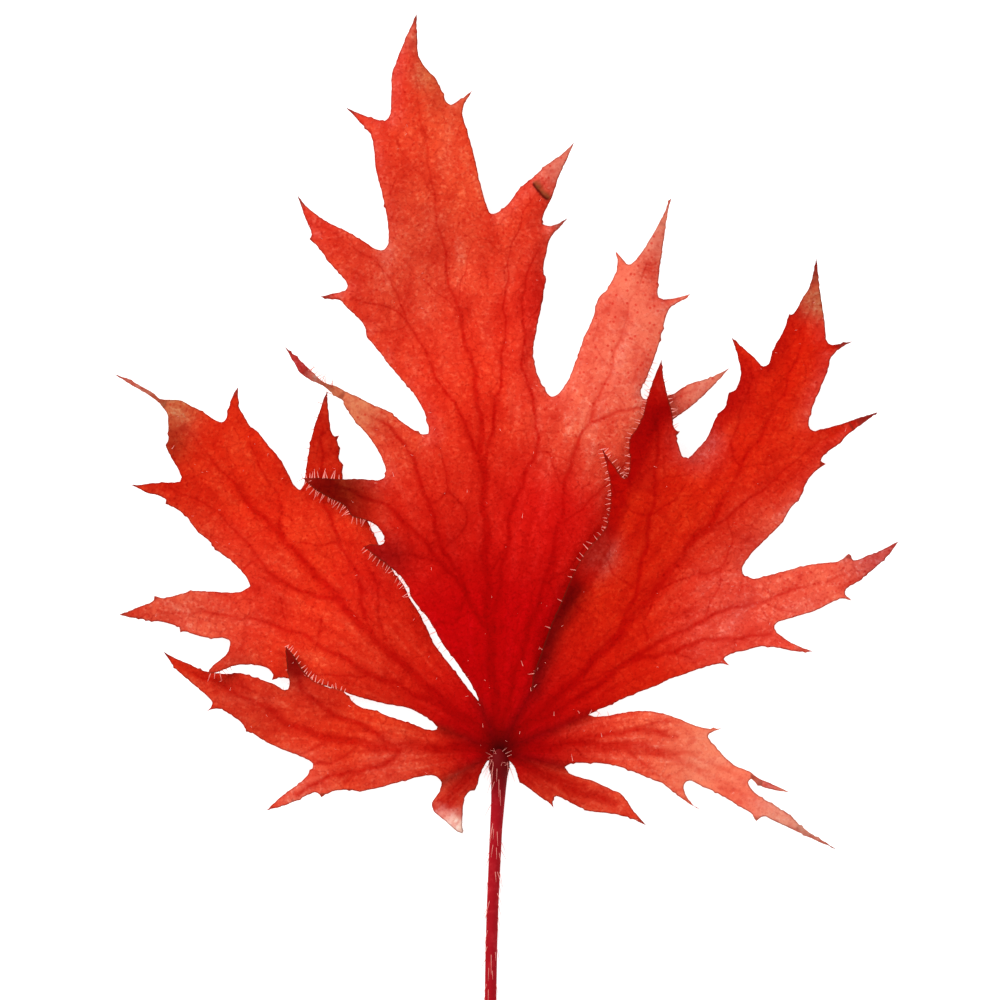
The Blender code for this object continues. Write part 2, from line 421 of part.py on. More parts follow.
def smooth_line(points, step):
    """Places about a step apart on a line through these points, which turns sharply only at tips."""
    places = [Vector(point) for point in points]
    ends = [isinstance(point, Tip) for point in points]
    ends[0] = ends[-1] = True
    line = [places[0]]
    for i in range(len(places) - 1):
        start, end = places[i], places[i + 1]
        span = math.sqrt((end - start).length)
        leave = (end - start) / span if ends[i] else slope_through(places[i - 1], start, end)
        arrive = (end - start) / span if ends[i + 1] else slope_through(start, end, places[i + 2])
        steps = max(1, round((end - start).length / step))
        for k in range(1, steps + 1):
            t = k / steps
            turn_in = t * t * (3 - 2 * t)
            leaving = leave * span * t * (1 - t) ** 2
            arriving = arrive * span * t * t * (1 - t)
            line.append(start.lerp(end, turn_in) + leaving - arriving)
    return [tuple(place) for place in line]


def cut_line(notch):
    """Places on the straight line from the hub to a notch, which two lobes share."""
    return [tuple(Vector(HUB).lerp(Vector(notch), k / CUT_STEPS)) for k in range(CUT_STEPS + 1)]


def rib_sides(veins):
    """Places on both sides of each vein, where a rib meets the flat of the blade."""
    sides = []
    for vein in veins:
        for start, end in zip(vein[:-1], vein[1:]):
            start, end = Vector(start), Vector(end)
            aside = (end - start).orthogonal().normalized() * RIB_HALF_WIDTH / SQUARE
            sides += [(start + end) / 2 + aside, (start + end) / 2 - aside]
    return sides


def patch(lobe):
    """A lobe's places and triangles, split so that its border and its veins are edges of it."""
    border = cut_line(lobe.notches[0])[:-1] + smooth_line(lobe.margin, MARGIN_STEP)
    border += cut_line(lobe.notches[1])[-2:0:-1]
    veins = [smooth_line(vein, VEIN_STEP) for vein in lobe.veins]
    places = list(border)
    edges = [(i, (i + 1) % len(border)) for i in range(len(border))]
    for vein in veins:
        edges += [(len(places) + i, len(places) + i + 1) for i in range(len(vein) - 1)]
        places += vein

    closed = border + border[:1]
    left, low = np.min(border, axis=0)
    right, high = np.max(border, axis=0)
    rows = np.arange(low, high, FILL_STEP * math.sqrt(3) / 2)
    fill = [
        (x, y)
        for row, y in enumerate(rows)
        for x in np.arange(left + FILL_STEP * (row % 2) / 2, right, FILL_STEP)
    ]
    kept = np.empty((0, 2))
    for candidates, from_veins in ((rib_sides(veins), SIDE_CLEARANCE), (fill, FILL_CLEARANCE)):
        x, y = np.array(candidates).T
        clear = is_inside(x, y, border) & (distance_to_lines(x, y, [closed]) > MARGIN_CLEARANCE)
        clear &= distance_to_lines(x, y, veins) > from_veins
        for place in np.column_stack((x, y))[clear]:
            if not len(kept) or np.hypot(*(kept - place).T).min() > PLACE_CLEARANCE:
                kept = np.vstack((kept, place))
    places += [tuple(place) for place in kept]
    found = delaunay_2d_cdt([Vector(place) for place in places], edges, [], 1, MERGE_DISTANCE)
    return np.array([tuple(place) for place in found[0]]), [tuple(face) for face in found[2]]


def add_leaf_blade():
    """The blade: every lobe's top and underside, split alike, with walls along its margins."""
    cuts = {tuple(np.round(place, 3)) for lobe in LOBES for place in cut_line(lobe.notches[0])}
    shared = {}
    vertices = []
    tops = []
    for lobe in LOBES:
        places, triangles = patch(lobe)
        x, y = places.T
        rib_share = np.clip(1 - distance_to_lines(x, y, lobe.veins) * SQUARE / RIB_HALF_WIDTH, 0, 1)
        rib_share *= 1 - RIB_TAPER * smoothstep(*RIB_TAPER_SPAN, np.hypot(x - HUB[0], y - HUB[1]))
        form = lobe_form(lobe, x, y)
        under = np.maximum(form - RIB_DEPTH * rib_share, 0)
        top = np.maximum(form, 0) + BLADE_THICKNESS - GROOVE_DEPTH * rib_share
        numbers = []
        for place, low, high in zip(places, under, top):
            key = tuple(np.round(place, 3))
            number = shared.get(key) if key in cuts else None
            if number is None:
                number = len(vertices)
                vertices += [(*place * SQUARE, low), (*place * SQUARE, high)]
                if key in cuts:
                    shared[key] = number
            numbers.append(number)
        tops += [[numbers[corner] for corner in triangle] for triangle in triangles]

    faces = [[corner + 1 for corner in triangle] for triangle in tops]
    faces += [triangle[::-1] for triangle in tops]
    sides = {(face[i], face[i - 2]) for face in tops for i in range(3)}
    for start, end in sides:
        if (end, start) not in sides:
            faces += [(start, end, end + 1), (start, end + 1, start + 1)]
    mesh = bpy.data.meshes.new("leaf")
    mesh.from_pydata(vertices, [], faces)
    return bpy.data.objects.new("leaf", mesh)


def add_stalk():
    """The stalk as one tube: its upper end is inside the blade, and its other end is cut across."""
    mesh = bpy.data.meshes.new("stalk")
    stalk = bmesh.new()
    middles = [Vector((x * SQUARE, y * SQUARE, z)) for x, y, z, _ in STALK_PATH]
    rings = []
    for i, middle in enumerate(middles):
        along = (middles[min(i + 1, len(middles) - 1)] - middles[max(i - 1, 0)]).normalized()
        aside = along.cross(Vector((0, 0, 1))).normalized()
        upward = aside.cross(along)
        radius = STALK_PATH[i][3]
        ring = []
        for side in range(STALK_SIDES):
            angle = math.tau * (side + 0.5) / STALK_SIDES
            outward = math.cos(angle) * aside + math.sin(angle) * upward
            ring.append(stalk.verts.new(middle + radius * outward))
        rings.append(ring)
    for upper, lower in zip(rings[:-1], rings[1:]):
        for side in range(STALK_SIDES):
            following = (side + 1) % STALK_SIDES
            stalk.faces.new((upper[side], lower[side], lower[following], upper[following]))
    stalk.faces.new(rings[0])
    stalk.faces.new(rings[-1][::-1])
    bmesh.ops.recalc_face_normals(stalk, faces=stalk.faces)
    stalk.to_mesh(mesh)
    stalk.free()
    return bpy.data.objects.new("stalk", mesh)


for existing in list(bpy.data.objects):
    bpy.data.objects.remove(existing)
collection = bpy.data.collections.new("coral bells leaf")
bpy.context.scene.collection.children.link(collection)
leaf = add_leaf_blade()
stalk = add_stalk()
collection.objects.link(leaf)
collection.objects.link(stalk)

# The blade and the stalk become one solid.
join = leaf.modifiers.new("Join", "BOOLEAN")
join.operation = "UNION"
join.solver = "EXACT"
join.object = stalk
whole = bpy.data.meshes.new_from_object(leaf.evaluated_get(bpy.context.evaluated_depsgraph_get()))
leaf.modifiers.clear()
leaf.data = whole
leaf.data.name = "leaf"
bpy.data.objects.remove(stalk)

# The origin goes to the middle of the leaf's box, on the surface.
corners = [vertex.co.copy() for vertex in whole.vertices]
lowest = [min(corner[axis] for corner in corners) for axis in range(3)]
highest = [max(corner[axis] for corner in corners) for axis in range(3)]
middle = Vector(((lowest[0] + highest[0]) / 2, (lowest[1] + highest[1]) / 2, lowest[2]))
for vertex in whole.vertices:
    vertex.co -= middle

material = bpy.data.materials.new("leaf red")
material.use_nodes = True
material.diffuse_color = LEAF_RED
shader = material.node_tree.nodes["Principled BSDF"]
shader.inputs["Base Color"].default_value = LEAF_RED
shader.inputs["Roughness"].default_value = LEAF_ROUGHNESS
whole.materials.clear()
whole.materials.append(material)
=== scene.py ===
"""The look of a picked coral bells leaf that lies face up: the blade with its veins, the stalk, and
the fine pale hairs on both.

Outlines are drawn on squared paper, with the stalk's top near (0, 0), x to the right and y towards
the leaf's tip. SQUARE is the size of one square. Heights and other sizes are metres.
"""

import math
import random

import bpy
import numpy as np
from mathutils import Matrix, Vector
from mathutils.geometry import delaunay_2d_cdt
from mathutils.kdtree import KDTree


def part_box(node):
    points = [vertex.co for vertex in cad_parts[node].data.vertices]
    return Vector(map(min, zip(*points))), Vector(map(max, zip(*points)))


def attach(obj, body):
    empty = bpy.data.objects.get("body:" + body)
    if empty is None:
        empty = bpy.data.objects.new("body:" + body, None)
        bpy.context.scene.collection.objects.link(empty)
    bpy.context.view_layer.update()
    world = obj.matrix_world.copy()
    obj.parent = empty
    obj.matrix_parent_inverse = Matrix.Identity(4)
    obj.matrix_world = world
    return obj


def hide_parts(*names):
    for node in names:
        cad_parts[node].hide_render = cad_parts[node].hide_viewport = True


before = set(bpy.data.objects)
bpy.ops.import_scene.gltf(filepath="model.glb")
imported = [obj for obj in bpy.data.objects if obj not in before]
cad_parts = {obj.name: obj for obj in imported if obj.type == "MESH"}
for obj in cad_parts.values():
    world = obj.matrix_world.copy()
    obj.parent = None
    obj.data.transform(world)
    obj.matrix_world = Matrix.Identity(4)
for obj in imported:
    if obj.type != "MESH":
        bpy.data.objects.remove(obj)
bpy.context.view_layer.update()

# Blade: one thin waved sheet in seven toothed lobes that partly overlap. It is orange-red, crimson at
# its base and salmon or tan where it fades, with darker veins that stand out as ribs underneath.
BLADE_WIDTH = 0.090
SQUARE = BLADE_WIDTH / 78.4  # the drawn blade is 78.4 squares wide
BLADE_THICKNESS = 0.00045
MARGIN_THICKNESS = 0.55  # the share of the thickness that is left at the margin
HUB_HEIGHT = 0.00135
SHOULDER_RISE = 0.0007
SHOULDER = (6, 20)  # where the shoulder's rise begins and ends, in squares from the hub
ROLL_HEIGHT = 0.0004
ROLL_START = (8, 22)
PUFF_HEIGHT = 0.00005
TIP_CURL = 0.00005  # for each square that a tip stands from the hub
CURLED_SHARE = (0.6, 1.12)  # the share of the way to the tip over which the curl grows
RESTS = [(-24.0, 20.0, 8.5), (20.0, 17.0, 8.5), (-2.0, 46.0, 9.0)]  # x, y and radius in squares
REST_SAG = 0.0027
# Degrees round the hub, clockwise from the stalk, and how many squares the tips stand from it there.
TIP_REACHES = [(0, 12), (35, 12), (86, 35), (130, 52), (182, 75), (228, 58), (262, 37), (305, 17),
               (360, 12)]
RAMP = 6.0
GROOVE_DEPTH = 0.00004  # over a vein, on the upper face
RIB_DEPTH = 0.00035
RIB_HALF_WIDTH = 0.0011
RIB_TAPER = 0.75
RIB_TAPER_SPAN = (10, 62)


class Tip(tuple):
    """A point where a margin turns sharply. Through its other points a margin runs smoothly."""


def tip(x, y):
    """The tip, or the sharp inner corner, at this place."""
    return Tip((x, y))


HUB = (-0.1, 0.9)
STALK_LEFT = (-1.25, 0.0)
BASAL_LEFT_NOTCH = (-5.85, -2.25)
LOWER_LEFT_SINUS = (-6.27, 3.3)
LEFT_SINUS = (-2.15, 5.9)
RIGHT_SINUS = (3.2, 7.0)
LOWER_RIGHT_SINUS = (8.9, 4.5)
BASAL_RIGHT_NOTCH = (6.5, -0.7)
STALK_RIGHT = (0.95, -0.1)
STALK_MIDDLE = (-0.1, -0.2)

# Margins run clockwise, seen from above, from the sinus or notch before a lobe to the one after it.
BASAL_LEFT_MARGIN = [
    STALK_MIDDLE, tip(*STALK_LEFT),
    (-1.5, -0.5), (-2.0, -1.5), (-2.2, -2.4), tip(-2.55, -3.05),
    (-3.0, -3.1), (-3.4, -3.6), (-3.65, -4.6), (-3.75, -6.2), tip(-3.75, -7.35),
    (-4.3, -7.1), (-5.4, -6.15), (-6.75, -4.9), (-6.8, -4.3), (-6.4, -3.65), (-5.9, -2.9),
    BASAL_LEFT_NOTCH,
]

LOWER_LEFT_MARGIN = [
    BASAL_LEFT_NOTCH,
    (-6.4, -1.65), (-7.2, -1.55), (-9.5, -2.05), (-11.8, -2.7), (-13.2, -3.0), tip(-14.0, -3.2),
    (-14.8, -3.0), (-16.5, -3.07), (-17.2, -3.35), tip(-17.85, -3.68),
    (-18.3, -3.27), (-19.0, -3.38), (-20.3, -4.05), (-22.0, -4.7), tip(-23.35, -5.0),
    (-22.3, -4.0), (-21.3, -3.15), (-20.1, -2.35), (-19.1, -1.3), (-18.7, -0.6), (-18.9, -0.15),
    (-20.0, 0.4), (-22.0, 1.17), (-23.8, 2.05), (-24.9, 2.8), tip(-25.4, 2.85),
    (-25.5, 3.3), (-26.0, 3.85), (-26.9, 4.5), (-27.8, 5.05), (-28.6, 5.14), tip(-29.35, 4.85),
    (-28.9, 5.25), (-28.77, 5.7), (-29.1, 6.2), (-30.0, 7.0), (-31.2, 8.05), (-32.2, 8.9),
    (-33.0, 9.9), tip(-33.65, 10.87),
    (-32.7, 10.32), (-31.4, 9.75), (-30.0, 9.07), (-29.3, 8.87), (-28.4, 8.7), (-27.2, 8.6),
    (-26.0, 8.7), (-24.8, 8.35), (-23.4, 7.87), (-22.5, 7.55), (-21.6, 7.0), (-21.2, 7.07),
    (-21.06, 7.6), (-21.2, 8.8), (-21.37, 10.0), tip(-21.43, 11.37),
    (-20.9, 10.8), (-20.3, 9.95), (-19.65, 8.85), (-18.8, 8.0), (-17.5, 7.4), (-16.0, 7.0),
    (-15.3, 6.55), (-14.6, 5.75), (-13.8, 5.23), (-12.8, 5.05), (-11.0, 4.35), (-9.2, 3.77),
    (-7.5, 3.13), (-6.8, 2.97), (-6.35, 3.07),
    LOWER_LEFT_SINUS,
]

LEFT_MARGIN = [
    LOWER_LEFT_SINUS,
    (-6.6, 3.7), (-7.6, 4.4), (-9.2, 5.17), (-11.2, 5.55), (-13.0, 6.0), (-14.8, 6.5),
    (-16.8, 7.2), (-19.0, 7.8), (-21.1, 8.1), (-21.9, 8.23), tip(-22.85, 7.97),
    (-22.7, 8.5), (-23.1, 9.05), (-24.0, 9.42), (-25.2, 9.52), (-26.5, 9.47), (-27.4, 9.1),
    (-28.1, 8.8), tip(-29.3, 8.65),
    (-28.7, 9.45), (-27.9, 10.1), (-27.3, 10.65), (-27.0, 11.5), (-27.1, 12.0), (-27.8, 12.16),
    (-29.2, 12.22), (-30.7, 12.57), (-31.5, 12.82), tip(-31.95, 12.78),
    (-32.1, 13.27), (-32.8, 13.53), (-34.2, 13.87), tip(-34.85, 13.8),
    (-35.4, 14.03), (-36.7, 14.2), tip(-38.05, 14.55),
    (-36.8, 15.03), (-35.4, 15.6), (-34.6, 16.0), tip(-34.5, 16.34),
    (-33.6, 16.22), (-32.2, 16.54), (-30.7, 16.9), (-28.8, 16.83), (-27.0, 16.73), (-25.7, 16.95),
    (-25.07, 17.4), (-25.25, 18.0), (-26.0, 19.0), (-27.3, 20.2), (-28.5, 21.05), (-29.1, 21.9),
    (-30.2, 22.75), (-30.67, 23.3), (-31.3, 24.25), (-32.2, 25.0), (-32.9, 25.35), tip(-33.47, 25.6),
    (-33.4, 26.0), (-34.0, 26.4), (-35.1, 26.65), (-35.9, 27.03), tip(-36.87, 27.52),
    (-35.8, 27.52), (-35.0, 27.67), (-33.5, 27.77), (-32.3, 27.8), (-31.83, 28.0), (-32.0, 28.65),
    (-32.6, 29.8), (-33.1, 30.7), tip(-33.42, 31.5),
    (-33.2, 31.85), (-33.15, 33.2), (-33.25, 34.5), (-33.8, 35.4), (-34.7, 36.2), (-36.0, 37.02),
    (-37.3, 37.78), tip(-38.5, 38.54),
    (-37.3, 38.16), (-35.9, 37.42), (-34.5, 36.6), (-34.0, 36.14), (-33.0, 36.02), (-32.1, 36.0),
    (-31.0, 35.5), (-29.5, 34.67), (-28.3, 33.9), (-27.8, 33.76), (-27.45, 34.0), (-27.2, 34.9),
    (-26.9, 36.1), (-26.6, 36.7), tip(-26.2, 37.3),
    (-26.17, 36.3), (-26.05, 35.15), (-25.6, 34.45), (-25.1, 33.5), (-24.3, 32.9), (-23.0, 31.25),
    (-22.0, 30.1), (-21.2, 28.65), (-20.6, 27.45), (-20.0, 27.03), (-19.65, 27.5), (-19.5, 28.5),
    (-19.3, 30.0), (-18.9, 32.0), (-18.6, 33.2), (-18.0, 35.0), (-17.6, 36.2), tip(-17.3, 37.0),
    (-17.2, 35.5), (-17.0, 33.6), (-16.85, 32.7), (-16.55, 32.37), tip(-16.1, 32.45),
    (-16.25, 32.0), (-16.05, 30.9), (-16.13, 30.2), tip(-15.7, 29.5),
    (-15.77, 28.5), (-15.4, 27.0), (-14.4, 25.3), (-13.3, 24.0), (-12.8, 22.9), (-12.2, 21.7),
    (-11.4, 20.1), (-10.3, 18.3), (-9.65, 17.5), (-9.1, 16.3), (-8.2, 14.9), (-7.4, 13.4),
    (-6.7, 11.8), (-5.7, 10.4), (-4.3, 8.6), (-3.0, 6.9),
    LEFT_SINUS,
]

CENTRAL_MARGIN = [
    LEFT_SINUS,
    (-2.5, 6.9), (-3.4, 8.4), (-4.7, 10.25), (-5.8, 11.7), (-6.5, 13.0), (-7.3, 14.3),
    (-8.2, 15.4), (-8.9, 16.35), (-9.15, 17.2), (-10.0, 18.45), (-11.1, 19.4), (-12.5, 20.4),
    tip(-13.6, 21.35),
    (-12.7, 21.57), (-11.9, 21.55), (-11.5, 21.9), (-11.7, 22.6), (-12.5, 23.55), (-13.5, 24.0),
    (-14.8, 24.4), (-15.5, 25.4), (-17.0, 26.2), (-18.5, 27.05), tip(-19.7, 28.2),
    (-18.0, 28.2), (-15.7, 28.07), (-14.0, 28.12), (-12.2, 28.0), (-11.6, 28.2), (-11.4, 28.9),
    (-11.7, 29.9), (-12.4, 31.3), (-13.4, 32.7), (-14.4, 33.7), (-15.3, 35.05), tip(-15.65, 35.6),
    (-15.65, 35.85), (-16.4, 36.37), (-17.2, 37.0), (-17.7, 37.43), (-18.9, 37.95),
    (-19.95, 38.7), (-20.6, 39.75), (-21.05, 40.55), tip(-21.5, 41.3),
    (-20.3, 40.3), (-19.0, 39.05), (-18.0, 38.1), (-17.3, 37.65), (-16.6, 37.45), (-15.5, 36.9),
    (-14.0, 36.2), (-12.5, 35.45), (-11.2, 34.9), (-9.7, 33.75), (-8.5, 32.95), (-7.7, 32.55),
    (-7.2, 32.65), (-7.15, 33.3), (-7.6, 34.8), (-8.7, 36.7), (-10.0, 38.25), (-11.2, 39.6),
    tip(-11.65, 40.3),
    (-12.5, 41.35), (-13.3, 42.25), (-13.5, 43.3), (-14.4, 44.4), (-15.4, 45.3), (-16.0, 45.95),
    (-17.0, 46.05), tip(-17.95, 46.3),
    (-16.7, 46.63), (-15.5, 46.95), (-15.2, 47.4), (-15.9, 48.45), (-17.3, 50.0), (-18.0, 51.1),
    tip(-19.05, 52.05),
    (-18.8, 52.5), (-19.3, 53.8), (-19.9, 55.4), tip(-20.2, 56.45),
    (-19.4, 55.4), (-18.0, 54.3), (-16.6, 53.45), (-15.0, 52.7), (-13.6, 51.85), (-12.5, 51.12),
    (-11.6, 51.05), (-11.17, 51.7), (-11.2, 53.5), (-11.7, 56.2), (-12.4, 59.0), (-12.6, 61.0),
    (-12.95, 62.5), (-14.2, 63.9), tip(-15.3, 65.1),
    (-14.0, 64.55), (-12.6, 64.07), (-11.5, 63.85), (-11.0, 64.4), (-10.85, 66.5), (-10.77, 68.6),
    (-10.4, 69.6), (-9.6, 71.7), (-8.9, 73.2), tip(-8.33, 74.5),
    (-8.25, 72.2), (-8.1, 70.3), (-7.3, 69.0), (-6.4, 68.05), (-5.8, 66.8), (-5.35, 65.75),
    (-4.9, 65.47), (-4.1, 65.9), tip(-2.7, 66.9),
    (-3.4, 65.8), (-3.75, 64.6), (-3.3, 63.0), (-2.6, 60.5), (-2.0, 57.8), (-1.4, 55.6),
    (-0.9, 54.65), (-0.2, 54.8), (0.8, 55.6), (1.9, 57.1), (3.1, 58.1), (4.7, 59.5), (6.1, 60.5),
    tip(7.4, 61.75),
    (6.8, 60.3), (5.9, 58.3), (5.2, 56.3), (4.4, 54.6), (4.25, 53.6), (4.8, 53.4), (5.7, 53.6),
    tip(6.75, 54.15),
    (5.9, 53.2), (5.0, 52.15), (4.7, 50.9), (4.35, 48.9), tip(4.65, 48.1),
    (4.3, 46.4), (4.1, 45.1), (3.7, 43.2), (3.35, 40.7), (3.7, 38.8), (4.4, 37.2), (5.1, 36.37),
    (5.8, 36.6), (6.8, 38.0), (7.6, 40.0), (8.3, 42.0), (9.3, 44.3), (9.8, 46.1), (10.7, 47.1),
    (11.6, 48.8), (11.73, 49.8), tip(11.53, 50.9),
    (12.1, 50.3), (12.85, 49.53), (13.8, 50.3), (15.0, 52.1), (16.2, 54.3), tip(17.13, 56.35),
    (16.7, 54.3), (16.4, 52.1), (16.05, 49.7), (15.8, 47.5), (15.9, 46.25), (16.9, 46.07),
    (18.0, 46.3), tip(19.1, 46.63),
    (18.2, 45.95), (17.0, 45.2), (16.58, 44.2), (16.0, 42.0), (15.3, 39.8), (14.5, 37.8),
    (14.05, 36.8), (14.3, 36.15), (15.5, 36.2), (17.2, 36.6), (19.0, 37.65), (20.8, 38.15),
    tip(22.95, 39.2),
    (21.8, 37.9), (20.3, 36.4), (18.8, 35.1), (17.4, 34.1), (16.4, 32.8), (15.5, 31.0),
    (14.5, 28.8), (13.5, 26.3), (12.8, 24.0), (11.9, 21.4), (10.5, 18.6), (8.6, 16.4), (6.9, 14.8),
    (5.6, 12.8), (4.35, 10.5), (3.6, 8.6),
    RIGHT_SINUS,
]

RIGHT_MARGIN = [
    RIGHT_SINUS,
    (3.32, 8.4), (4.0, 10.4), (5.0, 13.2), (6.1, 15.8), (7.2, 18.3), (8.6, 20.8), (9.8, 22.2),
    (10.6, 23.3), (10.95, 25.0), (11.05, 27.2), (10.7, 29.2), tip(10.2, 31.1),
    (10.9, 30.1), (11.8, 28.9), (12.4, 28.15), (12.8, 28.6), (12.97, 30.2), (12.97, 32.2),
    (13.7, 33.2), (14.3, 34.5), (14.7, 36.1), (15.4, 38.2), tip(16.15, 40.05),
    (16.3, 38.5), (16.7, 36.6), (17.2, 34.8), (17.45, 33.1), tip(18.0, 32.85),
    (17.65, 32.4), (17.9, 31.3), (18.35, 30.25), (18.8, 30.2), (19.8, 31.2), (20.7, 32.2),
    (21.3, 33.6), (21.8, 34.6), (22.5, 35.3), tip(22.85, 36.75),
    (23.5, 37.0), (24.05, 38.5), (23.7, 40.5), tip(23.13, 42.25),
    (24.2, 41.3), (25.4, 40.2), (26.3, 39.35), (26.8, 39.6), (27.3, 41.1), (28.3, 42.9),
    tip(28.85, 44.55),
    (29.3, 44.6), (30.1, 46.0), (30.9, 47.3), (31.25, 48.7), tip(31.57, 50.2),
    (31.75, 48.5), (32.0, 46.4), (32.4, 44.0), (32.6, 41.9), (33.0, 41.5), (34.0, 41.62),
    tip(35.2, 41.85),
    (34.1, 41.2), (33.1, 40.3), (32.7, 38.8), (31.9, 36.9), (31.1, 34.9), (30.87, 33.4),
    (31.3, 32.9), (32.6, 33.17), (34.3, 33.65), (35.8, 34.2), tip(37.7, 34.77),
    (36.2, 33.6), (34.9, 32.65), (33.8, 31.5), (32.6, 30.7), (32.08, 29.9), tip(32.6, 29.6),
    (31.8, 29.1), (30.8, 28.0), (30.1, 26.4), (29.0, 25.1), (28.1, 23.6), (26.6, 22.1),
    (25.0, 20.4), (24.25, 19.0), (24.5, 18.4), (25.4, 18.15), (27.2, 18.55), (29.2, 19.1),
    (31.5, 19.63), (33.8, 19.9), tip(34.85, 20.63),
    (35.3, 20.0), (36.8, 20.5), (38.4, 21.12), tip(39.9, 22.0),
    (38.9, 20.6), (37.5, 19.25), (35.9, 17.9), (34.6, 17.1), (34.5, 16.55), tip(35.1, 15.97),
    (34.2, 16.15), (33.4, 15.9), (31.5, 14.9), (29.5, 14.3), (27.7, 13.7), (27.45, 13.15),
    (28.5, 12.15), (29.9, 11.4), tip(31.35, 10.85),
    (29.7, 10.85), (28.0, 11.15), (26.2, 11.35), (24.5, 10.9), (23.1, 10.6), (22.4, 10.1),
    tip(22.95, 9.45),
    (22.0, 9.6), (20.4, 9.25), (18.4, 8.55), (16.7, 7.95), (15.5, 7.37), (13.3, 6.55),
    (11.2, 5.6), (9.6, 4.9),
    LOWER_RIGHT_SINUS,
]

LOWER_RIGHT_MARGIN = [
    LOWER_RIGHT_SINUS,
    (9.7, 4.33), (11.2, 4.52), (12.8, 4.8), (14.5, 4.93), (16.0, 4.7), (17.7, 4.2), (19.3, 3.55),
    (20.5, 3.17), tip(22.25, 3.15),
    (21.2, 2.8), (20.8, 2.4), (21.4, 1.55), (22.4, 0.4), (23.6, -0.6), (24.9, -1.1), (25.6, -1.65),
    (27.0, -2.3), tip(28.9, -3.17),
    (27.2, -2.95), (25.8, -2.45), (25.1, -1.9), (24.8, -2.2), (25.2, -3.0), (26.2, -3.75),
    (27.6, -4.58), (29.0, -5.45), (29.9, -6.4), (31.0, -7.25), (32.3, -8.05), tip(33.9, -9.07),
    (32.1, -8.25), (30.6, -7.55), (28.8, -6.7), (27.4, -6.08), (26.3, -5.6), tip(25.6, -6.07),
    (25.0, -5.25), (23.8, -4.55), (22.0, -3.45), (20.3, -2.67), (18.9, -2.07), (18.45, -2.35),
    (18.45, -3.1), (19.0, -4.2), tip(20.15, -5.03),
    (18.8, -4.3), (17.5, -3.35), (16.2, -2.3), (15.5, -2.07), (14.1, -1.5), (12.3, -0.8),
    (10.5, -0.4), (8.5, -0.33), (7.1, -0.37),
    BASAL_RIGHT_NOTCH,
]

BASAL_RIGHT_MARGIN = [
    BASAL_RIGHT_NOTCH,
    (6.9, -1.3), (7.9, -1.7), (9.0, -1.97), (10.2, -2.5), (11.3, -3.0), (12.2, -3.45),
    (12.9, -4.35), (13.3, -5.0), tip(14.8, -6.67),
    (13.3, -5.9), (12.0, -5.53), (10.6, -5.28), (9.0, -5.13), (7.8, -4.65), (6.5, -4.0),
    (5.65, -3.63), (5.3, -3.95), tip(5.35, -4.77),
    (4.9, -4.3), (4.2, -3.85), (3.1, -3.0), (2.05, -2.2), (1.7, -1.4), (1.4, -0.6),
    tip(*STALK_RIGHT), STALK_MIDDLE,
]

# Each vein starts at the hub or on another vein, and runs towards a tip.
LOWER_LEFT_VEINS = [
    [HUB, (-3.0, 1.1), (-6.0, 1.25), (-10.0, 1.3), (-14.1, 1.6), (-17.3, 2.3), (-20.0, 3.1),
     (-23.0, 4.9), (-27.5, 7.2), (-31.0, 8.9)],
    [(-10.0, 1.3), (-12.1, 2.4), (-14.0, 3.6), (-17.1, 4.9), (-19.4, 6.8), (-20.3, 8.6)],
    [(-10.0, 1.3), (-10.9, -0.1), (-13.9, -1.0), (-17.6, -1.9), (-20.2, -3.3)],
]
LEFT_VEINS = [
    [HUB, (-3.2, 3.9), (-7.0, 7.2), (-10.5, 10.2), (-13.0, 12.5), (-15.5, 15.5), (-17.8, 17.9),
     (-20.3, 20.4), (-22.8, 23.4), (-25.7, 26.3), (-28.7, 29.9), (-31.5, 33.6)],
    [(-15.5, 15.5), (-18.2, 16.5), (-21.9, 17.9), (-24.1, 20.2), (-26.6, 22.9), (-29.8, 25.9),
     (-33.3, 27.1)],
    [(-3.2, 3.9), (-8.3, 6.6), (-12.8, 8.6), (-16.9, 10.9), (-20.7, 12.9), (-25.5, 14.2),
     (-30.0, 14.7), (-34.0, 14.8)],
    [(-20.3, 20.4), (-21.8, 22.9), (-22.0, 25.5), (-23.4, 28.5), (-25.0, 31.6)],
    [(-13.0, 12.5), (-13.6, 15.2), (-14.4, 18.6), (-16.0, 22.0), (-17.3, 24.5), (-17.9, 28.0),
     (-17.7, 32.5)],
]
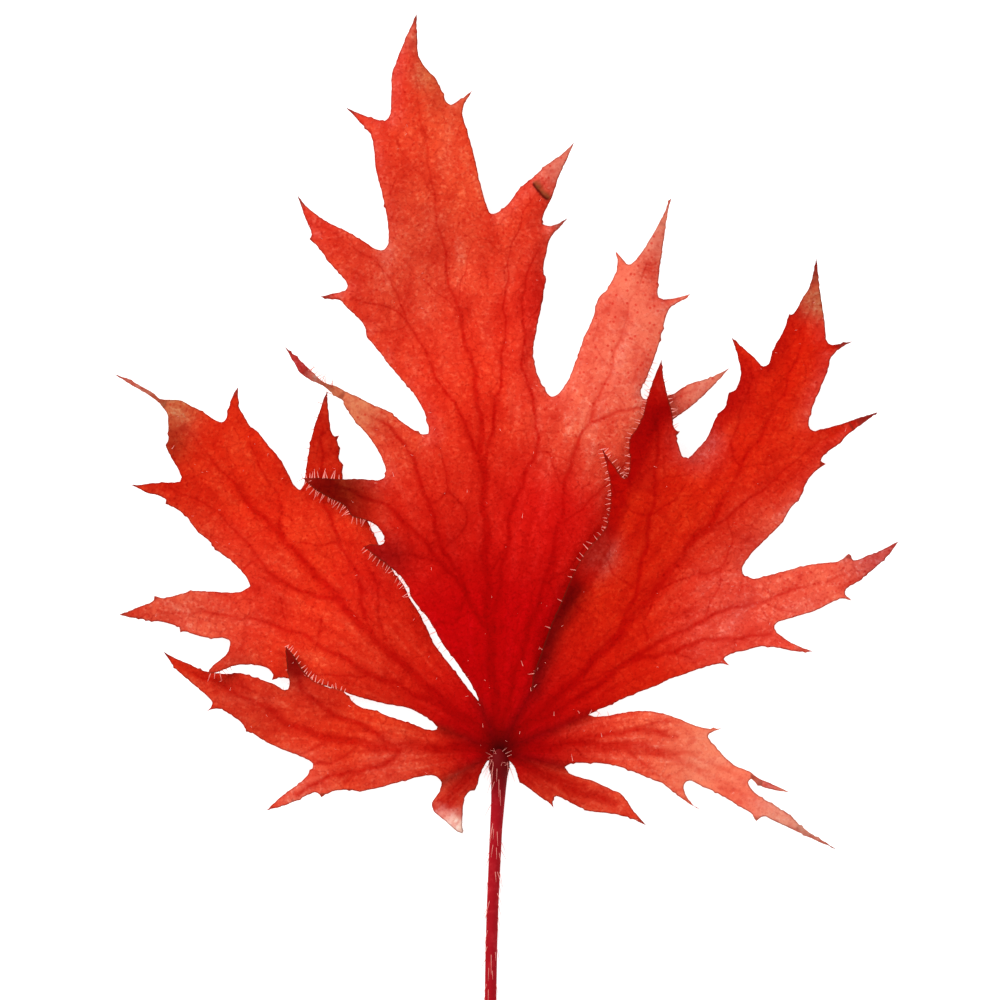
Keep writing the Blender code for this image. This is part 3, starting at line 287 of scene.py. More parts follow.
CENTRAL_VEINS = [
    [HUB, (-0.5, 6.0), (-1.0, 12.0), (-1.3, 18.0), (-1.5, 24.0), (-1.7, 28.0), (-1.9, 33.0),
     (-2.5, 38.0), (-3.8, 43.5), (-5.0, 47.7), (-5.8, 51.8), (-6.6, 56.0), (-7.3, 61.0),
     (-8.1, 65.5), (-8.7, 69.5)],
    [(-1.7, 28.0), (-0.9, 32.5), (-0.1, 37.4), (0.4, 41.5), (0.6, 47.7), (1.4, 52.0), (3.0, 55.6),
     (5.0, 58.4)],
    [(-1.0, 12.0), (0.4, 20.0), (1.4, 25.6), (3.5, 30.6), (3.7, 34.0), (2.4, 38.8), (2.4, 43.5),
     (2.4, 47.5), (4.0, 51.2)],
    [HUB, (1.0, 6.5), (2.6, 12.0), (4.4, 17.6), (5.9, 23.4), (6.9, 29.2), (8.7, 33.8), (11.0, 39.0),
     (12.9, 45.0), (14.7, 49.6)],
    [(8.7, 33.8), (12.0, 34.7), (16.0, 35.7), (19.5, 36.9)],
    [(-1.7, 28.0), (-2.5, 31.3), (-4.9, 36.0), (-6.9, 39.4), (-9.0, 43.6), (-10.3, 46.4),
     (-12.0, 49.3), (-15.0, 51.6), (-17.6, 53.4)],
    [(-1.0, 12.0), (-3.2, 16.5), (-5.5, 21.0), (-7.2, 25.6), (-8.5, 29.6), (-10.7, 32.8),
     (-13.6, 35.0)],
    [(-3.2, 16.5), (-6.0, 19.8), (-9.5, 24.0), (-12.5, 26.0), (-16.0, 27.2)],
    [(-9.0, 43.6), (-11.0, 45.3), (-14.5, 46.0)],
    [(-6.6, 56.0), (-8.4, 59.3), (-10.6, 61.9)],
]
RIGHT_VEINS = [
    [HUB, (2.4, 3.1), (7.0, 7.4), (12.0, 13.0), (15.5, 17.0), (18.7, 21.2), (21.6, 24.6),
     (24.0, 29.3), (26.9, 34.1), (28.9, 38.5), (30.3, 42.5), (31.2, 46.0)],
    [(12.0, 13.0), (13.6, 16.9), (14.5, 21.0), (15.1, 24.5), (15.6, 29.0), (15.8, 34.0)],
    [(24.0, 29.3), (23.2, 31.6), (23.9, 34.2), (24.9, 37.0), (25.0, 39.2)],
    [(18.7, 21.2), (23.0, 24.4), (27.0, 27.8), (30.5, 30.8), (33.6, 32.6)],
    [(2.4, 3.1), (5.2, 4.6), (8.5, 6.8), (12.7, 9.7), (16.6, 12.1), (21.6, 14.5), (26.4, 16.0),
     (31.0, 17.4), (35.4, 19.1)],
    [(12.7, 9.7), (17.5, 11.0), (22.5, 12.2), (27.0, 12.4)],
]
LOWER_RIGHT_VEINS = [
    [HUB, (3.2, 1.2), (7.0, 1.6), (11.8, 1.5), (14.5, 1.2), (18.5, -0.4), (22.0, -2.2),
     (25.0, -4.0), (27.6, -5.3)],
    [(7.0, 1.6), (10.5, 2.6), (14.0, 3.0), (17.8, 2.4)],
    [(14.5, 1.2), (18.2, 0.7), (21.0, -0.2), (23.6, -1.5)],
]
BASAL_RIGHT_VEINS = [[HUB, (2.8, -0.6), (5.7, -2.1), (9.0, -3.5), (11.4, -4.4)]]
BASAL_LEFT_VEINS = [[(-3.2, -1.6), (-4.5, -2.9), (-5.0, -4.6)]]

# Finer veins, which only show as lines.
LOWER_LEFT_FINE = [
    [(-17.3, 2.3), (-19.0, 0.9), (-21.5, 0.6)],
    [(-23.0, 4.9), (-24.6, 6.9), (-26.4, 8.0)],
    [(-14.1, 1.6), (-16.0, -0.2), (-18.3, -0.2)],
    [(-13.9, -1.0), (-15.6, -2.2)],
]
LEFT_FINE = [
    [(-9.0, 8.9), (-11.4, 12.2), (-12.2, 15.8), (-12.6, 18.8)],
    [(-22.2, 16.1), (-21.8, 15.0), (-21.3, 13.2)],
    [(-18.0, 14.0), (-18.1, 12.4)],
    [(-24.1, 20.2), (-25.6, 19.0), (-26.8, 17.9)],
    [(-22.8, 23.4), (-24.8, 22.3), (-28.9, 22.3)],
    [(-25.7, 26.3), (-26.9, 29.0), (-27.3, 32.4)],
    [(-16.0, 22.0), (-18.6, 21.4), (-20.9, 22.0)],
    [(-12.8, 8.6), (-16.0, 8.3), (-19.5, 8.9)],
    [(-28.7, 29.9), (-31.3, 30.2)],
]
CENTRAL_FINE = [
    [(-3.8, 43.5), (-5.1, 45.7), (-6.5, 47.0), (-7.6, 47.9), (-8.9, 48.6)],
    [(-4.3, 45.2), (-3.6, 48.6), (-3.3, 50.4), (-2.4, 52.1), (-1.3, 52.0), (-0.4, 51.2), (0.8, 50.2)],
    [(-5.8, 51.8), (-6.4, 53.7), (-7.8, 54.1), (-9.2, 55.3)],
    [(2.4, 43.5), (4.2, 46.0), (4.0, 48.4)],
    [(3.5, 30.6), (4.6, 30.6), (5.4, 29.3), (6.3, 27.4)],
    [(-7.2, 25.6), (-5.2, 26.8), (-5.5, 29.0), (-6.2, 31.4)],
    [(-5.5, 21.0), (-3.3, 24.2), (-3.8, 25.6), (-5.2, 26.8)],
    [(-6.0, 19.8), (-9.2, 20.4), (-11.6, 20.9)],
    [(-1.3, 18.0), (0.9, 22.0)],
    [(8.7, 33.8), (10.3, 36.7), (11.7, 36.7), (12.8, 34.9)],
    [(11.0, 39.0), (9.6, 41.5), (9.8, 44.5)],
    [(12.9, 45.0), (11.8, 47.0)],
    [(12.0, 42.0), (13.9, 41.5), (14.9, 39.9)],
    [(-8.1, 65.5), (-6.6, 67.0)],
    [(-7.3, 61.0), (-5.3, 63.0)],
    [(-9.0, 43.6), (-11.0, 42.7), (-12.6, 42.8)],
    [(-3.2, 16.5), (-4.5, 14.0), (-6.2, 13.6)],
    [(4.4, 17.6), (7.0, 19.3), (9.8, 23.0)],
    [(5.9, 23.4), (9.0, 26.0), (11.5, 28.6), (14.4, 31.5)],
]
RIGHT_FINE = [
    [(13.6, 16.9), (11.6, 18.4), (10.7, 20.6)],
    [(8.5, 15.0), (7.2, 15.9)],
    [(15.1, 24.5), (13.2, 25.0), (12.0, 26.6)],
    [(15.5, 17.0), (19.0, 18.2), (22.1, 19.5), (23.2, 21.6), (22.6, 24.0)],
    [(20.3, 14.2), (21.6, 16.6), (22.1, 19.5)],
    [(14.9, 11.0), (14.6, 13.8), (15.5, 17.0)],
    [(18.7, 27.5), (17.3, 25.9), (15.1, 24.5)],
    [(24.0, 29.3), (27.2, 29.6), (29.5, 31.8)],
    [(26.9, 34.1), (25.2, 34.9), (24.9, 37.0)],
    [(28.9, 38.5), (30.9, 38.5)],
    [(26.4, 16.0), (28.0, 14.8), (30.2, 14.9)],
    [(31.0, 17.4), (32.6, 16.2)],
    [(17.5, 11.0), (19.2, 9.7)],
    [(7.0, 7.4), (9.6, 8.4), (12.7, 9.7)],
]
LOWER_RIGHT_FINE = [
    [(14.0, 3.0), (16.6, 4.0)],
    [(18.5, -0.4), (17.6, -1.6)],
    [(11.8, 1.5), (14.4, -0.5)],
    [(7.0, 1.6), (8.4, 0.4)],
]
BASAL_RIGHT_FINE = [[(5.7, -2.1), (8.4, -2.4)], [(5.7, -2.1), (7.2, -3.9)]]
BASAL_LEFT_FINE = [[(-4.5, -2.9), (-5.9, -4.0)]]


def turn_of(x, y):
    """Degrees clockwise from the stalk, as seen from above round the hub."""
    return np.degrees(np.arctan2(HUB[0] - x, HUB[1] - y)) % 360


def smoothstep(low, high, value):
    """0 below low, 1 above high, and a smooth rise between."""
    t = np.clip((value - low) / (high - low), 0, 1)
    return t * t * (3 - 2 * t)


class Lobe:
    """One lobe: its margin, veins, and how far each of its two sides stands up or down.

    A rise is a side's height over the general form of the blade. It is reached within RAMP squares
    outside the notch on that side. A swell is local: x, y and radius in squares, and its height.
    Its flesh is crimson up to the first of two distances from the hub, and its plain colour beyond
    the second. A fade is a patch of another colour: x, y and radius in squares, its colour and its
    strength. A shadow is a dark red band: the line that it follows, its half width and its strength.
    Its sides say how much painted pink sheen, or below 0 how much painted shade, the margins get
    that face up to the left and down to the right.
    """

    def __init__(self, margin, veins, fine, first_rise=0.0, last_rise=0.0, swells=(), fades=(),
                 shadows=(), flesh=(228, 60, 33), crimson=(3, 24), sides=(0, 0)):
        self.margin = margin
        self.veins = veins
        self.fine = fine
        self.rises = (first_rise, last_rise)
        self.swells = swells
        self.fades = fades
        self.shadows = shadows
        self.sides = sides
        self.flesh = flesh
        self.crimson = crimson
        self.notches = (margin[0], margin[-1])
        self.first_turn = float(turn_of(*margin[0]))
        self.full_turn = (float(turn_of(*margin[-1])) - self.first_turn) % 360


# Colours of the blade's flesh, with each channel from 0 to 255.
SALMON = (237, 114, 88)
TAN = (200, 104, 78)
ROSE = (228, 84, 56)
CRIMSON = (190, 2, 4)
DARK_RED = (150, 8, 3)
# The dark red of the painted shadows: the shadow bands, the seams between lobes and the hub.
SHADOW_BLACK_RED = (70, 0, 2)
OLIVE = (196, 106, 66)
MARGIN_SHEEN_PINK = (226, 116, 106)
TIP_BROWN = (104, 36, 30)

# Clockwise from the stalk, seen from above.
LOBES = [
    Lobe(BASAL_LEFT_MARGIN, BASAL_LEFT_VEINS, BASAL_LEFT_FINE, swells=[(-4.6, -7.2, 2.6, 0.0016)],
         fades=[(-4.5, -6.6, 1.2, (244, 204, 186), 0.95), (-5.7, -5.4, 0.7, (236, 172, 154), 0.8)],
         flesh=(206, 62, 40), crimson=(1, 8)),
    Lobe(LOWER_LEFT_MARGIN, LOWER_LEFT_VEINS, LOWER_LEFT_FINE, last_rise=0.0009,
         swells=[(-28.6, 8.6, 4.0, -0.0014)], flesh=(226, 58, 28), crimson=(2, 12), sides=(-0.3, 0.2),
         fades=[(-26.0, 5.0, 6.0, (192, 48, 28), 0.8), (-20.0, -3.2, 4.0, (226, 84, 62), 0.75),
                (-21.0, 9.6, 2.4, (112, 26, 18), 0.85), (-18.0, 6.6, 3.0, (170, 24, 14), 0.6),
                (-11.0, -1.2, 3.6, (222, 76, 54), 0.6)]),
    Lobe(LEFT_MARGIN, LEFT_VEINS, LEFT_FINE, -0.0005, -0.00055, swells=[(-28.4, 9.2, 3.3, 0.0017)],
         flesh=(224, 50, 22), sides=(-0.6, -0.7),
         fades=[(-33.0, 35.3, 3.0, (196, 98, 60), 0.95), (-36.6, 37.2, 2.6, (200, 104, 84), 0.95),
                (-33.0, 31.4, 2.2, (126, 32, 14), 0.7),
                (-31.0, 14.8, 7.0, (217, 80, 56), 0.85), (-16.0, 9.0, 6.0, (214, 52, 28), 0.5),
                (-17.9, 33.0, 4.0, DARK_RED, 0.45), (-26.5, 30.0, 6.0, (218, 36, 10), 0.6),
                (-24.0, 16.0, 4.5, (216, 40, 22), 0.6), (-12.0, 17.5, 4.4, (190, 8, 6), 0.7)]),
    Lobe(CENTRAL_MARGIN, CENTRAL_VEINS, CENTRAL_FINE, 0.0008, -0.0005, flesh=(224, 52, 28),
         fades=[(-8.4, 72.2, 1.8, TAN, 0.45), (-7.2, 68.8, 1.8, OLIVE, 0.6),
                (-9.6, 69.5, 1.5, (216, 40, 22), 0.7), (-11.5, 20.2, 2.6, (140, 6, 6), 0.85),
                (-18.6, 38.4, 0.9, (206, 112, 92), 0.7), (-5.4, 66.0, 2.6, OLIVE, 0.4),
                (-9.0, 51.0, 9.0, ROSE, 0.5), (14.5, 47.5, 8.0, SALMON, 0.95),
                (11.0, 38.0, 6.5, SALMON, 0.7), (9.0, 31.0, 5.0, ROSE, 0.7),
                (16.4, 52.8, 3.6, (214, 118, 96), 0.9), (15.2, 49.0, 1.3, (198, 44, 28), 0.85),
                (16.8, 46.2, 1.8, (214, 74, 58), 0.6), (20.5, 37.4, 3.4, (222, 122, 98), 0.9),
                (-14.4, 35.4, 3.6, (214, 122, 84), 0.95), (-20.2, 39.8, 1.7, (182, 48, 44), 0.9),
                # The dark fade at (-16.6, 27.0) is painted shade on the tooth that lies over the left lobe.
                (-16.6, 27.0, 4.2, (122, 24, 6), 0.97), (-10.2, 32.0, 3.6, (214, 72, 44), 0.5),
                (6.0, 59.8, 2.6, (226, 128, 106), 0.95), (-4.0, 60.0, 7.0, (238, 74, 42), 0.7),
                (5.5, 25.0, 6.0, (206, 14, 10), 0.85), (3.6, 45.5, 3.4, (206, 20, 12), 0.55)],
         crimson=(14, 38), sides=(0.5, -0.7)),
    Lobe(RIGHT_MARGIN, RIGHT_VEINS, RIGHT_FINE, 0.0010, -0.0002, flesh=(214, 36, 10), sides=(-0.9, 0.25),
         fades=[(32.1, 46.0, 2.0, (186, 98, 66), 0.95), (30.5, 18.0, 7.0, (232, 94, 70), 0.95),
                (37.6, 20.8, 3.4, (196, 86, 78), 0.8), (15.6, 35.0, 4.6, (166, 4, 2), 0.9),
                (22.5, 37.5, 4.0, (176, 10, 6), 0.6), (14.2, 29.6, 3.0, (178, 8, 4), 0.7),
                (20.0, 31.0, 2.2, (206, 84, 72), 0.45),
                (24.0, 13.5, 6.0, (224, 74, 56), 0.8), (31.0, 30.0, 5.0, (216, 44, 20), 0.5),
                # The pale grey-pink fade at (9.5, 20.9) is a painted sheen where the lobe turns down by its
                # margin.
                (9.5, 20.9, 2.2, (178, 76, 64), 0.85)],
         shadows=[([(7.5, 17.0), (6.8, 15.7), (5.2, 12.8), (3.9, 9.4), (3.1, 7.2)], 1.25, 0.72)]),
    Lobe(LOWER_RIGHT_MARGIN, LOWER_RIGHT_VEINS, LOWER_RIGHT_FINE, 0.0004, 0.0003,
         flesh=(228, 64, 38), crimson=(3, 16),
         fades=[(21.0, 0.5, 6.5, (236, 122, 92), 0.98), (29.5, -6.0, 4.6, (226, 150, 126), 0.85),
                (26.9, -2.1, 1.4, (204, 94, 82), 0.85), (15.0, 2.5, 4.0, ROSE, 0.6)]),
    Lobe(BASAL_RIGHT_MARGIN, BASAL_RIGHT_VEINS, BASAL_RIGHT_FINE, -0.0002, flesh=(212, 60, 34),
         crimson=(1, 10), fades=[(11.5, -4.3, 3.0, ROSE, 0.35)]),
]
LOWER_LEFT, LEFT, CENTRAL, RIGHT, LOWER_RIGHT = LOBES[1:6]


def reach_at(turn):
    """The distance from the hub to the tips in this direction, eased from one lobe to the next."""
    turns, reaches = np.array(TIP_REACHES, float).T
    at = np.clip(np.searchsorted(turns, turn, side="right") - 1, 0, len(turns) - 2)
    ease = smoothstep(0, 1, (turn - turns[at]) / (turns[at + 1] - turns[at]))
    return reaches[at] + ease * (reaches[at + 1] - reaches[at])


def general_form(x, y, distance, turn):
    """The height that all lobes share: level at the hub, sagging at its rests, curled at the tips."""
    height = HUB_HEIGHT + SHOULDER_RISE * smoothstep(*SHOULDER, distance)
    for rest_x, rest_y, radius in RESTS:
        height -= REST_SAG * np.exp(-((x - rest_x) ** 2 + (y - rest_y) ** 2) / radius ** 2)
    rolls = np.sin(0.31 * x + 0.12 * y + 0.7) * np.sin(0.27 * y - 0.10 * x)
    height += ROLL_HEIGHT * rolls * smoothstep(*ROLL_START, distance)
    reach = reach_at(turn)
    return height + TIP_CURL * reach * smoothstep(*CURLED_SHARE, distance / reach)


def lobe_form(lobe, x, y):
    """Height of a lobe's underside between its ribs, before it is kept above the surface."""
    distance = np.hypot(x - HUB[0], y - HUB[1])
    turn = turn_of(x, y)
    height = general_form(x, y, distance, turn)
    across = ((turn - lobe.first_turn + 90) % 360 - 90) / lobe.full_turn
    across = np.clip(across, -0.2, 1.2)
    for rise, share, notch in zip(lobe.rises, (1 - across, across), lobe.notches):
        start = math.dist(notch, HUB)
        height += rise * share * smoothstep(start, start + RAMP, distance)
    for swell_x, swell_y, radius, rise in lobe.swells:
        height += rise * np.exp(-((x - swell_x) ** 2 + (y - swell_y) ** 2) / radius ** 2)
    return height


def distance_to_lines(x, y, lines):
    """The distance in squares from each place to the nearest of these lines."""
    nearest = np.full(np.shape(x), np.inf)
    for line in lines:
        for (ax, ay), (bx, by) in zip(line[:-1], line[1:]):
            run_x, run_y = bx - ax, by - ay
            along = ((x - ax) * run_x + (y - ay) * run_y) / (run_x ** 2 + run_y ** 2)
            along = np.clip(along, 0, 1)
            nearest = np.minimum(nearest, np.hypot(x - ax - along * run_x, y - ay - along * run_y))
    return nearest


def margin_sides(x, y, margin):
    """How far each place is from the margin, and how far the margin faces down to the right there."""
    nearest = np.full(np.shape(x), np.inf)
    facing = np.zeros(np.shape(x))
    for start, end in zip(margin[:-1], margin[1:]):
        run_x, run_y = np.subtract(end, start)
        distance = distance_to_lines(x, y, [[start, end]])
        closer = distance < nearest
        nearest = np.where(closer, distance, nearest)
        facing = np.where(closer, -0.7 * (run_x + run_y) / math.hypot(run_x, run_y), facing)
    return nearest, facing


def is_inside(x, y, border):
    """Whether each place is inside a closed border."""
    inside = np.zeros(np.shape(x), bool)
    for (ax, ay), (bx, by) in zip(border, border[1:] + border[:1]):
        if ay != by:
            crosses = (ay > y) != (by > y)
            inside ^= crosses & (x < ax + (y - ay) * (bx - ax) / (by - ay))
    return inside


def slope_through(before, here, after):
    """The direction in which a smooth line passes a point, by its neighbours and their distances."""
    back = math.sqrt((here - before).length)
    on = math.sqrt((after - here).length)
    return (here - before) / back - (after - before) / (back + on) + (after - here) / on


def smooth_line(points, step):
    """Places about a step apart on a line through these points, which turns sharply only at tips."""
    places = [Vector(point) for point in points]
    ends = [isinstance(point, Tip) for point in points]
    ends[0] = ends[-1] = True
    line = [places[0]]
    for i in range(len(places) - 1):
        start, end = places[i], places[i + 1]
        span = math.sqrt((end - start).length)
        leave = (end - start) / span if ends[i] else slope_through(places[i - 1], start, end)
        arrive = (end - start) / span if ends[i + 1] else slope_through(start, end, places[i + 2])
        steps = max(1, round((end - start).length / step))
        for k in range(1, steps + 1):
            t = k / steps
            turn_in = t * t * (3 - 2 * t)
            leaving = leave * span * t * (1 - t) ** 2
            arriving = arrive * span * t * t * (1 - t)
            line.append(start.lerp(end, turn_in) + leaving - arriving)
    return [tuple(place) for place in line]


FINE_STEP = 0.38  # squares between places on veins and on the cuts between lobes
EDGE_STEP = 0.28  # squares between places on the margin
FILL_STEP = 0.62  # squares between places in the open flesh
ROUGHNESS = 0.022  # how far the margin wanders off its smooth line, in squares
BUMP_HEIGHT, BUMP_SHARE = 0.11, 0.04  # the small bumps out of the margin, and how many places have one


def cut_line(notch):
    """Places on the straight line from the hub to a notch, which two lobes share."""
    steps = round(math.dist(notch, HUB) / FINE_STEP)
    return [tuple(Vector(HUB).lerp(Vector(notch), k / steps)) for k in range(steps + 1)]


def rough_margin(margin):
    """The margin as places EDGE_STEP apart, each a little off the smooth line, as a grown edge is."""
    line = smooth_line(margin, EDGE_STEP)
    chance = random.Random(len(line))
    rough = [line[0]]
    for before, here, after in zip(line, line[1:], line[2:]):
        run = Vector(after) - Vector(before)
        off = chance.gauss(0, ROUGHNESS) + (BUMP_HEIGHT if chance.random() < BUMP_SHARE else 0)
        rough.append(tuple(Vector(here) + Vector((-run.y, run.x)).normalized() * off))
    return rough + line[-1:]


# A tip is sharp where its margin is this close, in squares, three places before and after its point.
SHARP_WIDTH = 0.9
MIDDLE_WIDTHS = (0.12, 1.2)  # a tip gets middle places where it is between these widths
TIP_PLACES = 10


def tip_middles(edge):
    """Places along the middle of each sharp tip, so that its middle isn't all margin."""
    spans = [math.dist(edge[i - 3], edge[i + 3]) for i in range(3, len(edge) - 3)]
    narrow, wide = MIDDLE_WIDTHS
    middles = []
    for i in range(TIP_PLACES, len(edge) - TIP_PLACES):
        before, here, after = spans[i - 4:i - 1]
        if here > SHARP_WIDTH or here > min(before, after):
            continue
        for k in range(1, TIP_PLACES):
            if narrow < math.dist(edge[i - k], edge[i + k]) < wide:
                middles.append(tuple((Vector(edge[i - k]) + Vector(edge[i + k])) / 2))
    return middles


WANDER, SMALL_WANDER = 0.15, 0.07  # how far a vein's turns take it off its smooth line, in squares


def wandering(line):
    """The line with the small turns that a vein makes from one mesh of the net to the next."""
    return [
        (x + WANDER * math.sin(1.2 * y + 0.5 * x) + SMALL_WANDER * math.sin(2.9 * y - 1.1 * x),
         y + WANDER * math.sin(1.1 * x - 0.7 * y) + SMALL_WANDER * math.sin(2.7 * x + 1.3 * y))
        for x, y in line
    ]


# For a lobe's main vein, its side veins and its fine veins, in squares and in strength.
VEIN_HALF_WIDTHS = (0.50, 0.36, 0.24)
VEIN_STRENGTHS = (1.0, 0.85, 0.65)
VEIN_TAPER = 0.6  # the share of its width that a vein loses on its way out
VEIN_TAPER_SPAN = (4, 55)  # in squares from the hub


def vein_half_width(distance, level):
    """Half a vein's width in squares: widest at the hub, and narrower the finer the vein."""
    return VEIN_HALF_WIDTHS[level] * (1 - VEIN_TAPER * smoothstep(*VEIN_TAPER_SPAN, distance))


# How far places stay off the margin and off the veins' middles, in squares.
BESIDE_VEINS = (0.12, 0.04)
OPEN_FLESH = (0.3, 0.4)


def patch(lobe):
    """A lobe's places and triangles, split so that its border and its veins are edges of it."""
    lobe.edge = rough_margin(lobe.margin)
    border = cut_line(lobe.notches[0])[:-1] + lobe.edge + cut_line(lobe.notches[1])[-2:0:-1]
    lobe.border = border
    lobe.lines = [
        (wandering(smooth_line(vein, FINE_STEP)), level)
        for veins, level in ((lobe.veins[:1], 0), (lobe.veins[1:], 1), (lobe.fine, 2))
        for vein in veins
    ]
    closed = border + border[:1]
    places = list(border)
    edges = [(i, (i + 1) % len(border)) for i in range(len(border))]
    sides = []
    for line, level in lobe.lines:
        edges += [(len(places) + i, len(places) + i + 1) for i in range(len(line) - 1)]
        places += line
        for start, end in zip(line[:-1], line[1:]):
            start, end = Vector(start), Vector(end)
            width = vein_half_width(math.dist(start, HUB), level)
            aside = (end - start).orthogonal().normalized() * width
            sides += [tuple(start + aside), tuple(start - aside)]
    left, low = np.min(border, axis=0)
    right, high = np.max(border, axis=0)
    rows = np.arange(low, high, FILL_STEP * math.sqrt(3) / 2)
    fill = [
        (x, y)
        for row, y in enumerate(rows)
        for x in np.arange(left + FILL_STEP * (row % 2) / 2, right, FILL_STEP)
    ]
    places += tip_middles(lobe.edge)
    all_lines = [line for line, _ in lobe.lines]
    for candidates, (from_margin, from_veins) in ((sides, BESIDE_VEINS), (fill, OPEN_FLESH)):
        x, y = np.array(candidates).T
        clear = is_inside(x, y, border)
        x, y = x[clear], y[clear]
        clear = distance_to_lines(x, y, [closed]) > from_margin
        clear &= distance_to_lines(x, y, all_lines) > from_veins
        places += list(zip(x[clear], y[clear]))
    found = delaunay_2d_cdt([Vector(place) for place in places], edges, [], 1, 0.0001)
    return np.array([tuple(place) for place in found[0]]), [tuple(face) for face in found[2]]


def linear(colour):
    """A colour of 0 to 255 a channel, as the amounts of light that it stands for."""
    share = np.array(colour, float) / 255
    return np.where(share <= 0.04045, share / 12.92, ((share + 0.055) / 1.055) ** 2.4)


BASE_SHADE, BASE_RADIUS = 0.22, 7  # how much darker the flesh is round the hub, and how far out
MARGIN_REACH = 1.1  # squares from the margin within which it gets painted sheen or painted shade
MARGIN_TONE_FROM = (4, 10)  # squares from the hub between which that comes in
PINK_FROM, PINK_STRENGTH = (24, 34), 0.6  # the same for the painted pink sheen, only on outer margins
MARGIN_SHADE_LOSS = (0.40, 0.85, 0.85)  # shares of red, green and blue lost in painted shade
HALO_LOSS = (0.05, 0.35, 0.38)  # the same for the flesh beside a vein
TIP_STRENGTH = 0.7  # of the brown at slim tips
FADE_EDGE = 1.3  # above 1 a fade has a fuller middle and a shorter edge
SEAM_HALF_WIDTH, SEAM_STRENGTH = 0.55, 0.5  # the painted shade line from the hub to each notch, between lobes
HUB_SHADOW = (0.1, 1.9)
HUB_SHADOW_SPREAD, HUB_SHADOW_STRENGTH = 2.4, 0.5


def tint(lobe, x, y, edge, facing, halo, slim):
    """The blade's colour: orange-red, crimson towards the hub, the lobe's fades, painted sheen and shade."""
    distance = np.hypot(x - HUB[0], y - HUB[1])
    colour = np.zeros((len(x), 3)) + linear(lobe.flesh)
    near_base = (1 - smoothstep(*lobe.crimson, distance))[:, None]
    colour += near_base * (linear(CRIMSON) - colour)
    colour *= 1 - BASE_SHADE * np.exp(-(distance / BASE_RADIUS) ** 2)[:, None]
    # Painted sheen and painted shade on the margins: pinker where a lobe's sides are above 0, darker below
    # 0.
    margin_light = np.where(facing < 0, -facing * lobe.sides[0], facing * lobe.sides[1])
    margin_light *= np.exp(-(edge / MARGIN_REACH) ** 2) * smoothstep(*MARGIN_TONE_FROM, distance)
    margin_light = margin_light[:, None]
    outer = smoothstep(*PINK_FROM, distance)[:, None]
    colour += PINK_STRENGTH * outer * np.clip(margin_light, 0, 1) * (linear(MARGIN_SHEEN_PINK) - colour)
    colour *= 1 - np.clip(-margin_light, 0, 1) * MARGIN_SHADE_LOSS
    colour *= 1 - halo[:, None] * HALO_LOSS
    colour += TIP_STRENGTH * slim[:, None] * (linear(TIP_BROWN) - colour)
    for fade_x, fade_y, radius, faded, strength in lobe.fades:
        away = ((x - fade_x) ** 2 + (y - fade_y) ** 2) / radius ** 2
        share = strength * np.exp(-away ** FADE_EDGE)
        colour += share[:, None] * (linear(faded) - colour)
    seams = [(HUB, other.notches[0]) for other in LOBES[1:]]
    seam_shadows = [(seam, SEAM_HALF_WIDTH, SEAM_STRENGTH) for seam in seams]
    for line, half_width, strength in (*lobe.shadows, *seam_shadows):
        share = strength * np.exp(-(distance_to_lines(x, y, [line]) / half_width) ** 2)
        colour += share[:, None] * (linear(SHADOW_BLACK_RED) - colour)
    from_shadow = (x - HUB_SHADOW[0]) ** 2 + (y - HUB_SHADOW[1]) ** 2
    at_hub = (HUB_SHADOW_STRENGTH * np.exp(-from_shadow / HUB_SHADOW_SPREAD))[:, None]
    return colour + at_hub * (linear(SHADOW_BLACK_RED) - colour)


BODY_DEPTH = 0.45  # the wider blade is all that is this many squares inside the margin
SLIM_FROM = (0.7, 1.7)  # squares from the wider blade between which a tip counts as slim


def slimness(places, edge):
    """How far each place, 0 to 1, is out in a slim tip, by how far it is from the wider blade."""
    tree = KDTree(len(places))
    for i in np.flatnonzero(edge > BODY_DEPTH):
        tree.insert((*places[i], 0), i)
    tree.balance()
    return smoothstep(*SLIM_FROM, np.array([tree.find((*place, 0))[2] for place in places]))


def painted_overlap_shade(lobe, x, y):
    """How far each place, 0 to 1, lies over or under another lobe: painted shade where layers overlap."""
    share = np.zeros(len(x))
    for other in LOBES:
        if other is not lobe:
            inside = is_inside(x, y, other.border)
            if inside.any():
                margin = [other.border + other.border[:1]]
                depth = distance_to_lines(x[inside], y[inside], margin)
                share[inside] = np.maximum(share[inside], smoothstep(0.0, 1.0, depth))
    return share


BAND_WIDENING = 1.7  # a vein's dark band is this much wider than the vein
HALO_WIDTH = 1.5  # squares beside a vein within which the flesh is darker
OUTER_FADE, OUTER_FADE_FROM = 0.55, (0.4, 0.95)  # how much the veins fade, over shares of the reach
# The dark brown rim along the margin is partly the edge's own colour and partly painted shade.
LEAST_RIM, SLIM_RIM_LOSS = 0.6, 0.6  # the dark rim is weakest up to the left and at slim tips

